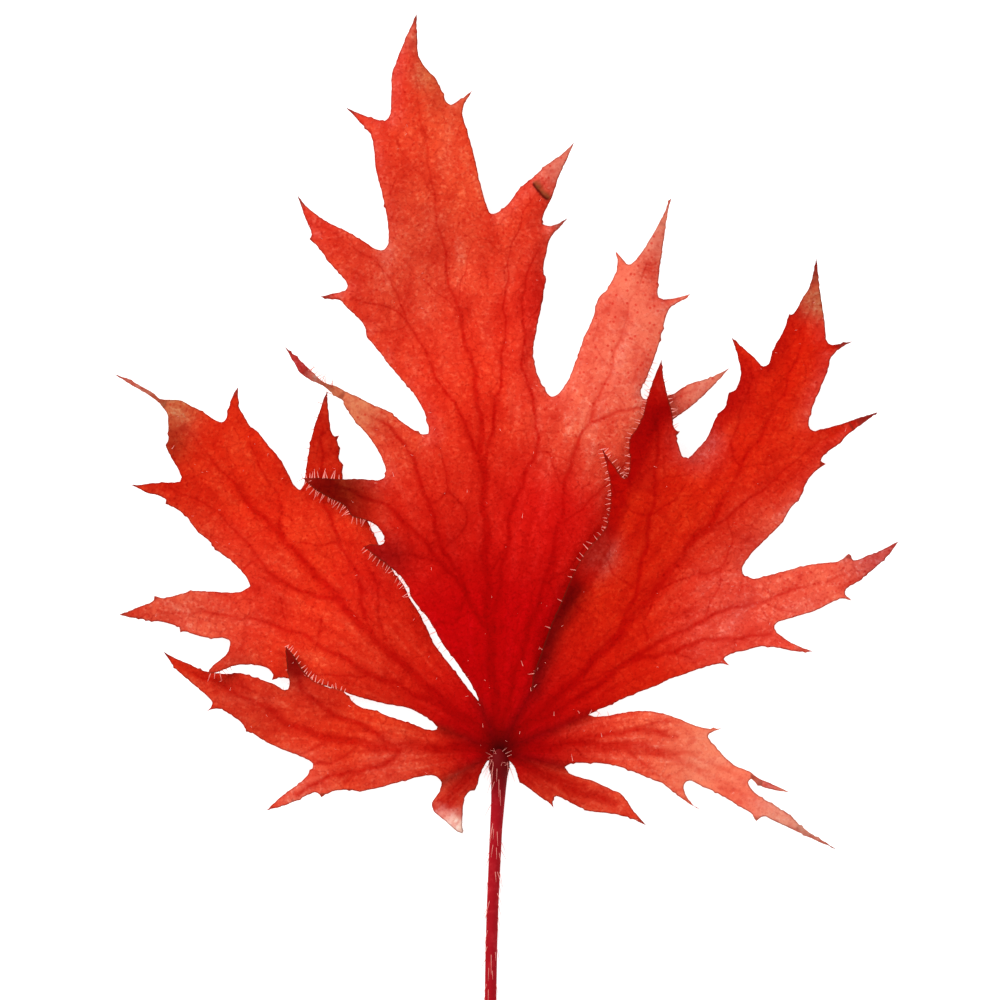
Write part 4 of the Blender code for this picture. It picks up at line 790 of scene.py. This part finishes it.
# Each lobe is meshed alone, top over underside. Places on the cuts between lobes are shared.
patches = [patch(lobe) for lobe in LOBES]
cuts = {tuple(np.round(place, 3)) for lobe in LOBES for place in cut_line(lobe.notches[0])}
shared = {}
vertices = []
tops = []
tints, veining, edging, rims, overlap_shades = [], [], [], [], []
for lobe, (places, triangles) in zip(LOBES, patches):
    x, y = places.T
    distance = np.hypot(x - HUB[0], y - HUB[1])
    rib_share = np.clip(1 - distance_to_lines(x, y, lobe.veins) * SQUARE / RIB_HALF_WIDTH, 0, 1)
    rib_share *= 1 - RIB_TAPER * smoothstep(*RIB_TAPER_SPAN, distance)
    vein, halo = np.zeros(len(x)), np.zeros(len(x))
    for line, level in lobe.lines:
        from_line = distance_to_lines(x, y, [line])
        half_width = BAND_WIDENING * vein_half_width(distance, level)
        line_share = np.clip(1 - from_line / half_width, 0, 1)
        vein = np.maximum(vein, VEIN_STRENGTHS[level] * line_share)
        if level < 2:
            halo = np.maximum(halo, VEIN_STRENGTHS[level] * np.exp(-(from_line / HALO_WIDTH) ** 2))
    vein *= 1 - OUTER_FADE * smoothstep(*OUTER_FADE_FROM, distance / reach_at(turn_of(x, y)))
    edge, facing = margin_sides(x, y, lobe.edge)
    form = np.maximum(lobe_form(lobe, x, y), 0)
    under = np.maximum(form - RIB_DEPTH * rib_share, 0)
    filled = MARGIN_THICKNESS + 0.3 * smoothstep(0, 0.7, edge) + 0.15 * smoothstep(0, 3, edge)
    puffed = PUFF_HEIGHT * np.sin(1.9 * x + 0.8 * y) * np.sin(1.7 * y - 0.5 * x)
    top = form + BLADE_THICKNESS * filled - GROOVE_DEPTH * vein + puffed * smoothstep(0, 2, edge)
    slim = slimness(places, edge)
    colours = tint(lobe, x, y, edge, facing, halo, slim)
    # Painted shade where this lobe lies over or under another.
    overlap_shade = painted_overlap_shade(lobe, x, y)
    rim = LEAST_RIM + (1 - LEAST_RIM) * smoothstep(-0.6, 0.6, facing)
    rim *= 1 - SLIM_RIM_LOSS * slim
    numbers = []
    for i, place in enumerate(places):
        key = tuple(np.round(place, 3))
        number = shared.get(key) if key in cuts else None
        if number is None:
            number = len(vertices)
            vertices += [(*place * SQUARE, under[i]), (*place * SQUARE, top[i])]
            tints += [colours[i], colours[i]]
            veining += [vein[i], vein[i]]
            edging += [edge[i], edge[i]]
            rims += [rim[i], rim[i]]
            overlap_shades += [overlap_shade[i], overlap_shade[i]]
            if key in cuts:
                shared[key] = number
        numbers.append(number)
    tops += [[numbers[corner] for corner in triangle] for triangle in triangles]

# The underside's numbers are one below the top's, and a wall joins the two along the margin.
faces = [[corner + 1 for corner in triangle] for triangle in tops]
faces += [triangle[::-1] for triangle in tops]
sides = {(face[i], face[i - 2]) for face in tops for i in range(3)}
for start, end in sorted(sides):
    if (end, start) not in sides:
        faces += [(start, end, end + 1), (start, end + 1, start + 1)]

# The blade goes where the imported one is: its right and top tips touch the same box.
right_most = max(x for x, y in RIGHT_MARGIN)
top_most = max(y for x, y in CENTRAL_MARGIN)
high_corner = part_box("leaf")[1]
SHIFT = Vector((right_most * SQUARE - high_corner.x, top_most * SQUARE - high_corner.y, 0))


def add_piece(name, vertices, faces, material, smooth_angle=math.radians(50)):
    """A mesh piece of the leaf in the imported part's place, which rides on its one body."""
    mesh = bpy.data.meshes.new(name)
    mesh.from_pydata([Vector(vertex) - SHIFT for vertex in vertices], [], faces)
    mesh.shade_smooth()
    mesh.set_sharp_from_angle(angle=smooth_angle)
    piece = bpy.data.objects.new(name, mesh)
    bpy.context.scene.collection.objects.link(piece)
    mesh.materials.append(material)
    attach(piece, "root")
    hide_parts("leaf")
    return piece


class Value:
    """An output in a material's nodes, so that sums with it can be written as expressions."""

    def __init__(self, tree, socket=None):
        self.tree = tree
        self.socket = socket

    def node(self, kind, inputs, output=0, **settings):
        """An output of a new node with these settings, and these values or links in its sockets."""
        made = self.tree.nodes.new(kind)
        for name, setting in settings.items():
            setattr(made, name, setting)
        for key, given in inputs.items():
            if isinstance(given, Value):
                self.tree.links.new(given.socket, made.inputs[key])
            else:
                made.inputs[key].default_value = given
        return Value(self.tree, made.outputs[output])

    def math(self, operation, *others):
        """What a Math node makes of this value and the others."""
        return self.node("ShaderNodeMath", dict(enumerate((self, *others))), operation=operation)

    def __add__(self, other):
        return self.math("ADD", other)

    def __sub__(self, other):
        return self.math("SUBTRACT", other)

    def __rsub__(self, other):
        return self * -1 + other

    def __mul__(self, other):
        return self.math("MULTIPLY", other)

    __radd__ = __add__
    __rmul__ = __mul__

    def ramp(self, low, high):
        """0 below low, 1 above high, and a smooth rise between."""
        limits = {"Value": self, "From Min": low, "From Max": high}
        return self.node("ShaderNodeMapRange", limits, interpolation_type="SMOOTHSTEP")

    def mixed(self, other, factor, blend="MIX"):
        """This colour with a share of another in it."""
        inputs = {0: factor, 6: self, 7: other}
        return self.node("ShaderNodeMix", inputs, 2, data_type="RGBA", blend_type=blend)

    def attribute(self, name, output="Fac"):
        """What a piece holds under this name at each of its points."""
        return self.node("ShaderNodeAttribute", {}, output, attribute_name=name)

    def place(self):
        """The place on the piece in metres."""
        return self.node("ShaderNodeTexCoord", {}, "Object")

    def up_the_leaf(self):
        """Metres towards the leaf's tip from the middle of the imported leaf."""
        return self.node("ShaderNodeSeparateXYZ", {"Vector": self.place()}, "Y")

    def noise(self, size, detail=2.0, output="Fac"):
        """Soft noise with blotches of about this size in metres."""
        inputs = {"Vector": self.place(), "Scale": 1 / size, "Detail": detail}
        return self.node("ShaderNodeTexNoise", inputs, output)

    def along_line(self, start, end):
        """Squares off a line to its left, and the share of its length from its middle, seen from above."""
        run = (Vector(end) - Vector(start)) * SQUARE
        middle = (Vector(end) + Vector(start)) / 2 * SQUARE - SHIFT.xy
        found = []
        for axis, unit in ((run.orthogonal() / run.length, SQUARE), (run / run.length, run.length)):
            turned = self.node("ShaderNodeVectorMath", {0: self.place(), 1: (*axis, 0)}, "Value",
                               operation="DOT_PRODUCT")
            found.append((turned - middle.dot(axis)) * (1 / unit))
        return found

    def streaks(self, middle, width, length):
        """Noise that is drawn out along the lines from a place in squares, which widens outwards."""
        width_from = 0.03  # metres from that place, where the streaks have the given width
        start = (*(Vector(middle) * SQUARE - SHIFT.xy), 0)
        place = self.node("ShaderNodeVectorMath", {0: self.place(), 1: start}, operation="SUBTRACT")
        x = place.node("ShaderNodeSeparateXYZ", {"Vector": place}, "X")
        y = place.node("ShaderNodeSeparateXYZ", {"Vector": place}, "Y")
        distance = (x * x + y * y).math("SQRT")
        polar = {"X": x.math("ARCTAN2", y) * (width_from / width), "Y": distance * (1 / length)}
        turned = self.node("ShaderNodeCombineXYZ", polar)
        inputs = {"Vector": turned, "Scale": 1.0, "Detail": 3.0}
        return self.node("ShaderNodeTexNoise", inputs, "Fac")

    def cells(self, size, feature, wobble=0.0):
        """Distances within cells of about this size in metres, as seen from above."""
        place = self.place()
        if wobble:
            shift = self.noise(size * 1.5, output="Color")
            place = place.node("ShaderNodeVectorMath", {0: shift, 1: (wobble,) * 3}, operation="MULTIPLY")
            place = self.node("ShaderNodeVectorMath", {0: self.place(), 1: place}, operation="ADD")
        inputs = {"Vector": place, "Scale": 1 / size}
        return self.node("ShaderNodeTexVoronoi", inputs, feature=feature, voronoi_dimensions="2D")


def new_material(name, roughness):
    """A material, its Principled shader and the start of its expressions."""
    material = bpy.data.materials.new(name)
    material.use_nodes = True
    shader = material.node_tree.nodes["Principled BSDF"]
    shader.inputs["Roughness"].default_value = roughness
    return material, shader, Value(material.node_tree)


def feed(value, shader, name):
    """Links a value to a socket of the shader."""
    value.tree.links.new(value.socket, shader.inputs[name])


def rgba(colour):
    """A colour of 0 to 255 a channel as a socket takes it."""
    return (*linear(colour), 1.0)


# What varies over the flesh, with the size of its marks in metres: its own mottling, veinlets and
# dots, and painted sheen and glints.
CLOUD_SIZE = 0.0035
BLOTCH_SIZE = 0.0011
GRAIN_SIZE = 0.00046
SPECK_SIZE = 0.00026
STREAK_WIDTH, STREAK_LENGTH = 0.0016, 0.007
NET_SIZE, NET_WOBBLE = 0.0016, 0.0024
DOT_SPACING = 0.0011
DOT_SIZES = (0.08, 0.19)  # shares of the spacing: a dot's full middle and its soft edge
DOTS_FROM = (-0.016, 0.0)  # how far up the leaf the dots come in: none are on the lower lobes
# The brown crease in the central lobe's upper right tooth, from end to end in squares.
CREASE_START, CREASE_END = (3.4, 57.8), (4.8, 56.0)
CREASE_BROWN = (128, 66, 34)
CREASE_LINE_RED = (96, 6, 4)
RIM_BROWN_AND_SHADE = (92, 32, 18)

blade_red, shader, start = new_material("leaf blade", 0.6)
shader.inputs["Specular IOR Level"].default_value = 0.02
vein = start.attribute("vein")
edge = start.attribute("edge")
overlap_shade = start.attribute("overlap_shade")
colour = start.attribute("tint", "Color")
# Salmon and tan flesh counts as pale. It has more green in it than the red flesh.
pale = colour.node("ShaderNodeSeparateColor", {"Color": colour}, "Green").ramp(0.07, 0.17)
cloud = start.noise(CLOUD_SIZE, 3.0)
blotches = start.noise(BLOTCH_SIZE, 3.0)
grain_and_glints = start.noise(GRAIN_SIZE, 2.5)
specks = start.noise(SPECK_SIZE, 1.0)
streaks = start.streaks(HUB, STREAK_WIDTH, STREAK_LENGTH)
net = start.cells(NET_SIZE, "DISTANCE_TO_EDGE", NET_WOBBLE)
upper_lobes = start.up_the_leaf().ramp(*DOTS_FROM)
dots = (1 - start.cells(DOT_SPACING, "F1").ramp(*DOT_SIZES)) * (blotches - 0.4).ramp(0.0, 0.12) * upper_lobes
crossing = (1 - net.ramp(0.0, 0.14)) * (blotches - 0.34).ramp(0.0, 0.24) * (cloud - 0.3).ramp(0.0, 0.3)
band = vein.ramp(0.05, 0.8) * ((blotches - 0.3).ramp(0.0, 0.4) * 0.3 + 0.58) * (1 - pale * 0.5)

# Each layer multiplies the flesh's red, green and blue by these shares where its mask is. The lighter
# pinker layers on the cloud, the streaks and the grain are painted sheen and painted glints, and the
# layer on the overlaps is painted shade; the darker layers are the flesh's own mottling, veins and dots.
for shares, mask in (
    ((1.1, 1.6, 1.55), (cloud - 0.46).ramp(0.0, 0.25) * (0.6 - pale * 0.4)),
    ((0.86, 0.5, 0.5), (0.5 - cloud).ramp(0.0, 0.2) * 0.6),
    ((1.06, 1.9, 2.3), (streaks - 0.5).ramp(0.0, 0.22) * (0.7 - pale * 0.5)),
    ((0.85, 0.45, 0.42), (0.5 - streaks).ramp(0.0, 0.22) * 0.7),
    ((0.82, 0.45, 0.45), (0.52 - blotches).ramp(0.0, 0.22) * 0.7),
    ((0.72, 0.3, 0.3), crossing * (0.55 - pale * 0.4)),
    ((0.74, 0.09, 0.06), band),
    ((0.78, 0.16, 0.12), overlap_shade),
    ((1.2, 2.6, 3.2), (grain_and_glints - 0.51).ramp(0.0, 0.18) * (0.52 - pale * 0.4)),
    ((0.64, 0.3, 0.3), (0.47 - specks).ramp(0.0, 0.15) * (0.42 - pale * 0.15)),
    ((0.84, 0.25, 0.24), dots * (pale * 0.2 + 0.6)),
):
    colour = colour.mixed((*shares, 1), mask, "MULTIPLY")

across, along = start.along_line(CREASE_START, CREASE_END)
across = across + (blotches - 0.5) * 0.6 - along * along * 0.3
between_ends = 1 - along.math("ABSOLUTE").ramp(0.4, 0.58)
crease = across.ramp(-0.3, -0.1) * (1 - across.ramp(-0.05, 0.6)) * between_ends
crease_line = (1 - (across + 0.2).math("ABSOLUTE").ramp(0.0, 0.26)) * between_ends
colour = colour.mixed(rgba(CREASE_BROWN), crease * (grain_and_glints.ramp(0.3, 0.7) * 0.3 + 0.75))
colour = colour.mixed(rgba(CREASE_LINE_RED), crease_line * 0.9)
# Dark brown rim at the margin: the edge's own colour with painted shade, strongest facing down to the right.
rim = (1 - edge.ramp(0.0, 0.2)) * start.attribute("rim")
colour = colour.mixed(rgba(RIM_BROWN_AND_SHADE), rim * 0.7)
feed(colour, shader, "Base Color")
dimples = grain_and_glints * 0.38 + blotches * 0.6 + crease * 1.2 + net.ramp(0.0, 0.3) * 0.08 - vein * 0.15
bump = start.node("ShaderNodeBump", {"Height": dimples, "Strength": 0.55, "Distance": 0.0002})
feed(bump, shader, "Normal")

blade = add_piece("blade", vertices, faces, blade_red)
for name, values in (("vein", veining), ("edge", edging), ("rim", rims), ("overlap_shade", overlap_shades)):
    blade.data.attributes.new(name, "FLOAT", "POINT").data.foreach_set("value", values)
colour_layer = blade.data.attributes.new("tint", "FLOAT_COLOR", "POINT")
colour_layer.data.foreach_set("color", np.column_stack((tints, np.ones(len(tints)))).ravel())

# Stalk: the stem that carried the blade, crimson, slightly ridged and about 1.4 mm thick. It is wider
# and darker at the collar where it grows into the blade's base, and cut across at its far end.
STALK_RED = (158, 12, 24)
STALK_PINK = (196, 48, 54)
PINK_SIZE = 0.0009  # of the pinker marks along the stalk
COLLAR_RED = (104, 4, 8)
COLLAR_END = -0.5  # where the collar's colour is full, in squares
COLLAR_FADE = 0.006  # how far it fades down the stalk
STALK_SIDES = 32
STALK_RINGS = 150
RIDGES, RIDGE_DEPTH = 5, 0.035
RIDGE_TWIST = 0.012  # for each ring
# From inside the blade's base to the cut end: x and y in squares, height and radius in metres.
STALK_PATH = [
    (-0.10, 2.2, 0.00140, 0.00020),
    (-0.10, 1.2, 0.00118, 0.00056),
    (-0.10, 0.4, 0.00130, 0.00100),
    (-0.10, -0.2, 0.00132, 0.00122),
    (-0.10, -0.8, 0.00130, 0.00124),
    (-0.10, -1.6, 0.00112, 0.00098),
    (-0.15, -2.8, 0.00092, 0.00088),
    (-0.22, -4.2, 0.00082, 0.00080),
    (-0.40, -6.9, 0.00072, 0.00072),
    (-0.60, -11.3, 0.00070, 0.00070),
    (-0.75, -14.7, 0.00069, 0.00069),
    (-0.88, -19.1, 0.00069, 0.00069),
    (-0.95, -24.0, 0.00069, 0.00069),
    (-0.90, -29.0, 0.00069, 0.00069),
    (-0.70, -34.0, 0.00069, 0.00069),
    (-0.45, -37.7, 0.00069, 0.00068),
]


def stalk_rings():
    """Rings of places round the stalk, close together along a smooth line through its path."""
    path = np.array(STALK_PATH)
    length = np.concatenate(([0], np.cumsum(np.hypot(*np.diff(path[:, :2], axis=0).T))))
    at = np.linspace(0, length[-1], STALK_RINGS)
    line = [Vector((a * SQUARE, b * SQUARE, c)) for a, b, c in zip(
        *(np.interp(at, length, path[:, axis]) for axis in range(3)))]
    radii = np.interp(at, length, path[:, 3])
    rings = []
    for i, middle in enumerate(line):
        along = (line[min(i + 3, len(line) - 1)] - line[max(i - 3, 0)]).normalized()
        aside = along.cross(Vector((0, 0, 1))).normalized()
        upward = aside.cross(along)
        ring = []
        for side in range(STALK_SIDES):
            angle = math.tau * side / STALK_SIDES
            ridged = 1 - RIDGE_DEPTH * (1 + math.cos(RIDGES * angle + RIDGE_TWIST * i)) / 2
            out = (math.cos(angle) * aside + math.sin(angle) * upward) * float(radii[i] * ridged)
            place = middle + out
            ring.append(Vector((place.x, place.y, max(place.z, 0))))
        rings.append(ring)
    return rings


rings = stalk_rings()
vertices = [place for ring in rings for place in ring]
faces = [list(range(STALK_SIDES))]
for ring in range(len(rings) - 1):
    for side in range(STALK_SIDES):
        following = (side + 1) % STALK_SIDES
        first, second = ring * STALK_SIDES, (ring + 1) * STALK_SIDES
        faces.append((first + following, second + following, second + side, first + side))
faces.append(list(range(len(vertices) - STALK_SIDES, len(vertices)))[::-1])
stalk_red, shader, start = new_material("leaf stalk", 0.6)
shader.inputs["Specular IOR Level"].default_value = 0.05
collar_y = COLLAR_END * SQUARE - SHIFT.y
pinker = (start.noise(PINK_SIZE, 3.0) - 0.5).ramp(0.0, 0.3) * 0.4
shades = {0: pinker, 6: rgba(STALK_RED), 7: rgba(STALK_PINK)}
colour = start.node("ShaderNodeMix", shades, 2, data_type="RGBA")
colour = colour.mixed(rgba(COLLAR_RED), (start.up_the_leaf() - collar_y).ramp(-COLLAR_FADE, 0.0))
feed(colour, shader, "Base Color")
add_piece("stalk", vertices, faces, stalk_red)

# Margin hairs: stiff pale pink hairs, up to 1.3 mm long, that fringe the margin where it curls up and
# where a lobe lies over its neighbour. They grow out of the margin and lean a little up and aside.
HAIR_PINK = (255, 158, 146)
MARGIN_HAIR_RADIUS = 0.000065
HAIR_SIDES = 3
HAIR_TAPER = 0.75
ROOT_SHARE = 0.6  # how far up in the blade's thickness hairs are rooted
ROOT_DEPTH = 0.0001  # how far inside the margin and below that its own hairs start
chance = random.Random(7)


def add_hair(vertices, faces, root, along, length, radius, droop=0.0):
    """Adds one tapering hair, which bends down along its length, as three-sided rings."""
    along = along.normalized()
    aside = along.orthogonal().normalized()
    upward = along.cross(aside)
    start = len(vertices)
    for share in (0.0, 0.5, 1.0):
        middle = root + along * length * share - Vector((0, 0, droop * length * share * share))
        size = radius * (1 - HAIR_TAPER * share)
        for side in range(HAIR_SIDES):
            angle = math.tau * side / HAIR_SIDES
            vertices.append(middle + size * (math.cos(angle) * aside + math.sin(angle) * upward))
    for ring in (0, 1):
        for side in range(HAIR_SIDES):
            following = (side + 1) % HAIR_SIDES
            low, high = start + ring * HAIR_SIDES, start + (ring + 1) * HAIR_SIDES
            faces.append((low + side, low + following, high + following, high + side))
    faces.append((start + 2, start + 1, start))
    faces.append((start + 6, start + 7, start + 8))


def root_height(lobe, place):
    """The height at which hairs are rooted in the blade, at a place in squares."""
    x, y = np.array([place[0]]), np.array([place[1]])
    return max(float(lobe_form(lobe, x, y)[0]), 0) + BLADE_THICKNESS * ROOT_SHARE


# Each fringe: its lobe, where on the margin it starts and ends, hairs a square, and the length of its
# longest hairs.
FRINGES = [
    (LEFT, (-19.3, 30.0), (-17.4, 36.0), 0.5, 0.0013),
    (CENTRAL, (-19.7, 28.2), (-15.7, 28.1), 3.2, 0.0013),
    (CENTRAL, (-13.5, 24.0), (-19.7, 28.2), 3.4, 0.0013),
    (CENTRAL, (-11.5, 21.9), (-13.5, 24.0), 1.6, 0.0013),
    (CENTRAL, (-8.9, 16.4), (-13.6, 21.35), 2.6, 0.0013),
    (CENTRAL, (-4.7, 10.2), (-8.2, 15.4), 1.0, 0.0009),
    (LEFT, (-9.1, 16.3), (-5.7, 10.4), 0.8, 0.0009),
    (LOWER_LEFT, (-21.6, 7.0), (-21.43, 11.37), 0.6, 0.0007),
    (LOWER_LEFT, (-21.43, 11.37), (-14.6, 5.8), 2.6, 0.0010),
    (LEFT, (-29.3, 8.65), (-27.0, 9.4), 2.2, 0.0013),
    (RIGHT, (3.4, 8.7), (7.2, 18.3), 0.45, 0.0009),
    (RIGHT, (7.2, 18.3), (9.9, 22.6), 1.1, 0.0011),
    (RIGHT, (9.9, 22.6), (10.2, 31.1), 2.4, 0.0008),
    (RIGHT, (10.2, 31.1), (13.0, 32.2), 2.2, 0.0009),
    (RIGHT, (13.0, 32.2), (15.4, 38.2), 1.8, 0.0009),
    (RIGHT, (16.3, 38.5), (17.5, 33.1), 1.8, 0.0009),
    (RIGHT, (9.6, 4.9), (8.9, 4.5), 1.0, 0.0009),
    (LOWER_RIGHT, (8.9, 4.5), (11.2, 4.5), 1.0, 0.0013),
    (CENTRAL, (-19.0, 39.05), (-16.6, 37.45), 3.0, 0.0013),
    (CENTRAL, (14.3, 37.5), (15.0, 39.8), 2.2, 0.0009),
]
PLACES_A_SQUARE = 10  # on the margin, for hairs to grow from
vertices, faces = [], []
for lobe, first, last, density, longest in FRINGES:
    margin = smooth_line(lobe.margin, 1 / PLACES_A_SQUARE)
    ends = [min(range(len(margin)), key=lambda i: math.dist(margin[i], end)) for end in (first, last)]
    i = min(ends)
    while i < max(ends):
        x, y = margin[i]
        run = Vector(margin[i + 1]) - Vector(margin[i])
        out = Vector((-run.y, run.x, 0)).normalized()
        lean = Vector((run.x, run.y, 0)).normalized() * chance.uniform(-0.45, 0.45)
        root = Vector((x * SQUARE, y * SQUARE, root_height(lobe, (x, y)) - ROOT_DEPTH))
        root -= ROOT_DEPTH * out
        along = out + lean + Vector((0, 0, chance.uniform(0.1, 0.7)))
        length = longest * chance.uniform(0.5, 1)
        add_hair(vertices, faces, root, along, length, MARGIN_HAIR_RADIUS, 0.15)
        i += max(1, round(PLACES_A_SQUARE / density * chance.uniform(0.5, 1.5)))
hair_pink, shader, _ = new_material("leaf hairs", 0.6)
shader.inputs["Base Color"].default_value = rgba(HAIR_PINK)
add_piece("margin_hairs", vertices, faces, hair_pink)

# Surface hairs: very short pale hairs that grow sparsely all over the upper face, and longer ones that
# stand alone or in short rows, most of them near the blade's base.
SHORT_HAIR_RADIUS, LONG_HAIR_RADIUS = 0.00003, 0.00004
TRIES_A_SQUARE = 0.10  # for each square of the lobe's box. Only those on the lobe become hairs.
vertices, faces = [], []
for lobe in LOBES:
    left, low = np.min(lobe.border, axis=0)
    right, high = np.max(lobe.border, axis=0)
    for _ in range(int((right - left) * (high - low) * TRIES_A_SQUARE)):
        x, y = chance.uniform(left, right), chance.uniform(low, high)
        if not is_inside(np.array([x]), np.array([y]), lobe.border)[0]:
            continue
        root = Vector((x * SQUARE, y * SQUARE, root_height(lobe, (x, y)) + 0.00008))
        turn = chance.uniform(0, math.tau)
        along = Vector((math.cos(turn), math.sin(turn), chance.uniform(0.2, 0.8)))
        add_hair(vertices, faces, root, along, chance.uniform(0.0002, 0.0005), SHORT_HAIR_RADIUS, 0.2)
# Where the longer ones stand: x and y in squares.
LONG_HAIRS = [
    (-6.9, 57.6), (-5.5, 60.9), (-4.1, 55.4), (0.5, 35.5), (0.2, 32.7), (6.6, 32.3), (3.3, 30.4),
    (7.4, 25.2), (2.2, 24.1), (2.1, 15.8), (2.5, 15.9), (3.0, 15.9), (3.5, 15.8), (4.1, 15.6),
    (4.6, 15.3), (1.7, 12.7), (2.3, 12.9), (-4.3, 1.9), (-2.0, 1.2), (-1.7, 3.1), (1.9, 2.4),
    (10.2, 2.3), (7.3, -0.1), (-10.6, 28.3), (-5.5, 26.3), (-3.3, 26.5), (-6.8, 18.8), (-32.8, 31.1),
    (5.4, 4.4), (6.4, 4.6), (7.0, 4.7), (7.5, 4.7), (8.0, 4.6), (2.3, 9.4), (3.1, 6.9), (3.4, 7.3),
]
for x, y in LONG_HAIRS:
    lobe = next(lobe for lobe in LOBES if is_inside(np.array([x]), np.array([y]), lobe.border)[0])
    root = Vector((x * SQUARE, y * SQUARE, root_height(lobe, (x, y)) + 0.0001))
    turn = chance.gauss(math.pi / 2, 0.5)
    along = Vector((math.cos(turn), math.sin(turn), 0.3))
    add_hair(vertices, faces, root, along, chance.uniform(0.0004, 0.0009), LONG_HAIR_RADIUS, 0.2)
add_piece("surface_hairs", vertices, faces, hair_pink)

# Stalk hairs: pale hairs up to 2.4 mm long that grow out of the stalk and lie along it towards its cut
# end, and shorter ones that stand out round its collar. None grow from under it.
STALK_HAIR_TRIES, COLLAR_HAIR_TRIES = 150, 30
collar_rings = rings[5:12]
vertices, faces = [], []
for _ in range(STALK_HAIR_TRIES):
    ring = chance.choice(rings[8:])
    side = chance.randrange(STALK_SIDES)
    middle = sum(ring, Vector()) / STALK_SIDES
    out = (ring[side] - middle).normalized()
    if out.z < -0.3:
        continue
    along = out * chance.uniform(0.05, 0.5) + Vector((0, -1, 0)) * chance.uniform(0.6, 1.0)
    add_hair(vertices, faces, ring[side], along, chance.uniform(0.0010, 0.0024), LONG_HAIR_RADIUS, 0.05)
for _ in range(COLLAR_HAIR_TRIES):
    ring = chance.choice(collar_rings)
    side = chance.randrange(STALK_SIDES)
    middle = sum(ring, Vector()) / STALK_SIDES
    out = (ring[side] - middle).normalized()
    if out.z < -0.2:
        continue
    along = out + Vector((0, chance.uniform(-0.2, 0.9), 0))
    add_hair(vertices, faces, ring[side], along, chance.uniform(0.0006, 0.0012), SHORT_HAIR_RADIUS, 0.3)
add_piece("stalk_hairs", vertices, faces, hair_pink)

# Floor, light and camera: a white table that glows, so that the leaf throws hardly any shadow, under
# even light from all sides and two large soft lamps. The camera looks straight down at the leaf.
FLOOR_HALF = 4.0
FLOOR_GLOW = 0.86
SKY_STRENGTH = 0.63
CAMERA_HEIGHT = 1.5
LEAF_HEIGHT = 0.002  # about where the leaf's upper face is
FRAME_WIDTH = 100.0 * SQUARE
FRAME_MIDDLE = 26.0  # squares up the leaf
LAMPS = [  # name, place, watts and width
    ("key", (-0.9, 0.9, 1.1), 21.0, 0.9),
    ("fill", (1.2, -0.6, 1.4), 5.0, 1.5),
]
floor_mesh = bpy.data.meshes.new("floor")
corners = [(x * FLOOR_HALF, y * FLOOR_HALF, 0) for x, y in ((-1, -1), (1, -1), (1, 1), (-1, 1))]
floor_mesh.from_pydata(corners, [], [(0, 1, 2, 3)])
floor = bpy.data.objects.new("floor", floor_mesh)
bpy.context.scene.collection.objects.link(floor)
floor_white, shader, _ = new_material("floor", 0.9)
shader.inputs["Base Color"].default_value = (0.5, 0.5, 0.5, 1)
shader.inputs["Specular IOR Level"].default_value = 0.0
shader.inputs["Emission Color"].default_value = (1, 1, 1, 1)
shader.inputs["Emission Strength"].default_value = FLOOR_GLOW
floor_mesh.materials.append(floor_white)

world = bpy.data.worlds.new("studio")
bpy.context.scene.world = world
world.use_nodes = True
world.node_tree.nodes["Background"].inputs["Color"].default_value = (1, 1, 1, 1)
world.node_tree.nodes["Background"].inputs["Strength"].default_value = SKY_STRENGTH
for name, place, power, size in LAMPS:
    lamp = bpy.data.lights.new(name, "AREA")
    lamp.energy = power
    lamp.size = size
    light = bpy.data.objects.new(name, lamp)
    light.location = place
    light.rotation_euler = (-Vector(place)).to_track_quat("-Z", "Y").to_euler()
    bpy.context.scene.collection.objects.link(light)

camera_data = bpy.data.cameras.new("camera")
camera_data.sensor_width = 36.0
camera_data.lens = camera_data.sensor_width * (CAMERA_HEIGHT - LEAF_HEIGHT) / FRAME_WIDTH
camera_data.clip_end = 20.0
camera = bpy.data.objects.new("camera", camera_data)
camera.location = Vector((0.0, FRAME_MIDDLE * SQUARE, CAMERA_HEIGHT)) - SHIFT
bpy.context.scene.collection.objects.link(camera)
bpy.context.scene.camera = camera
bpy.context.scene.view_settings.view_transform = "Standard"
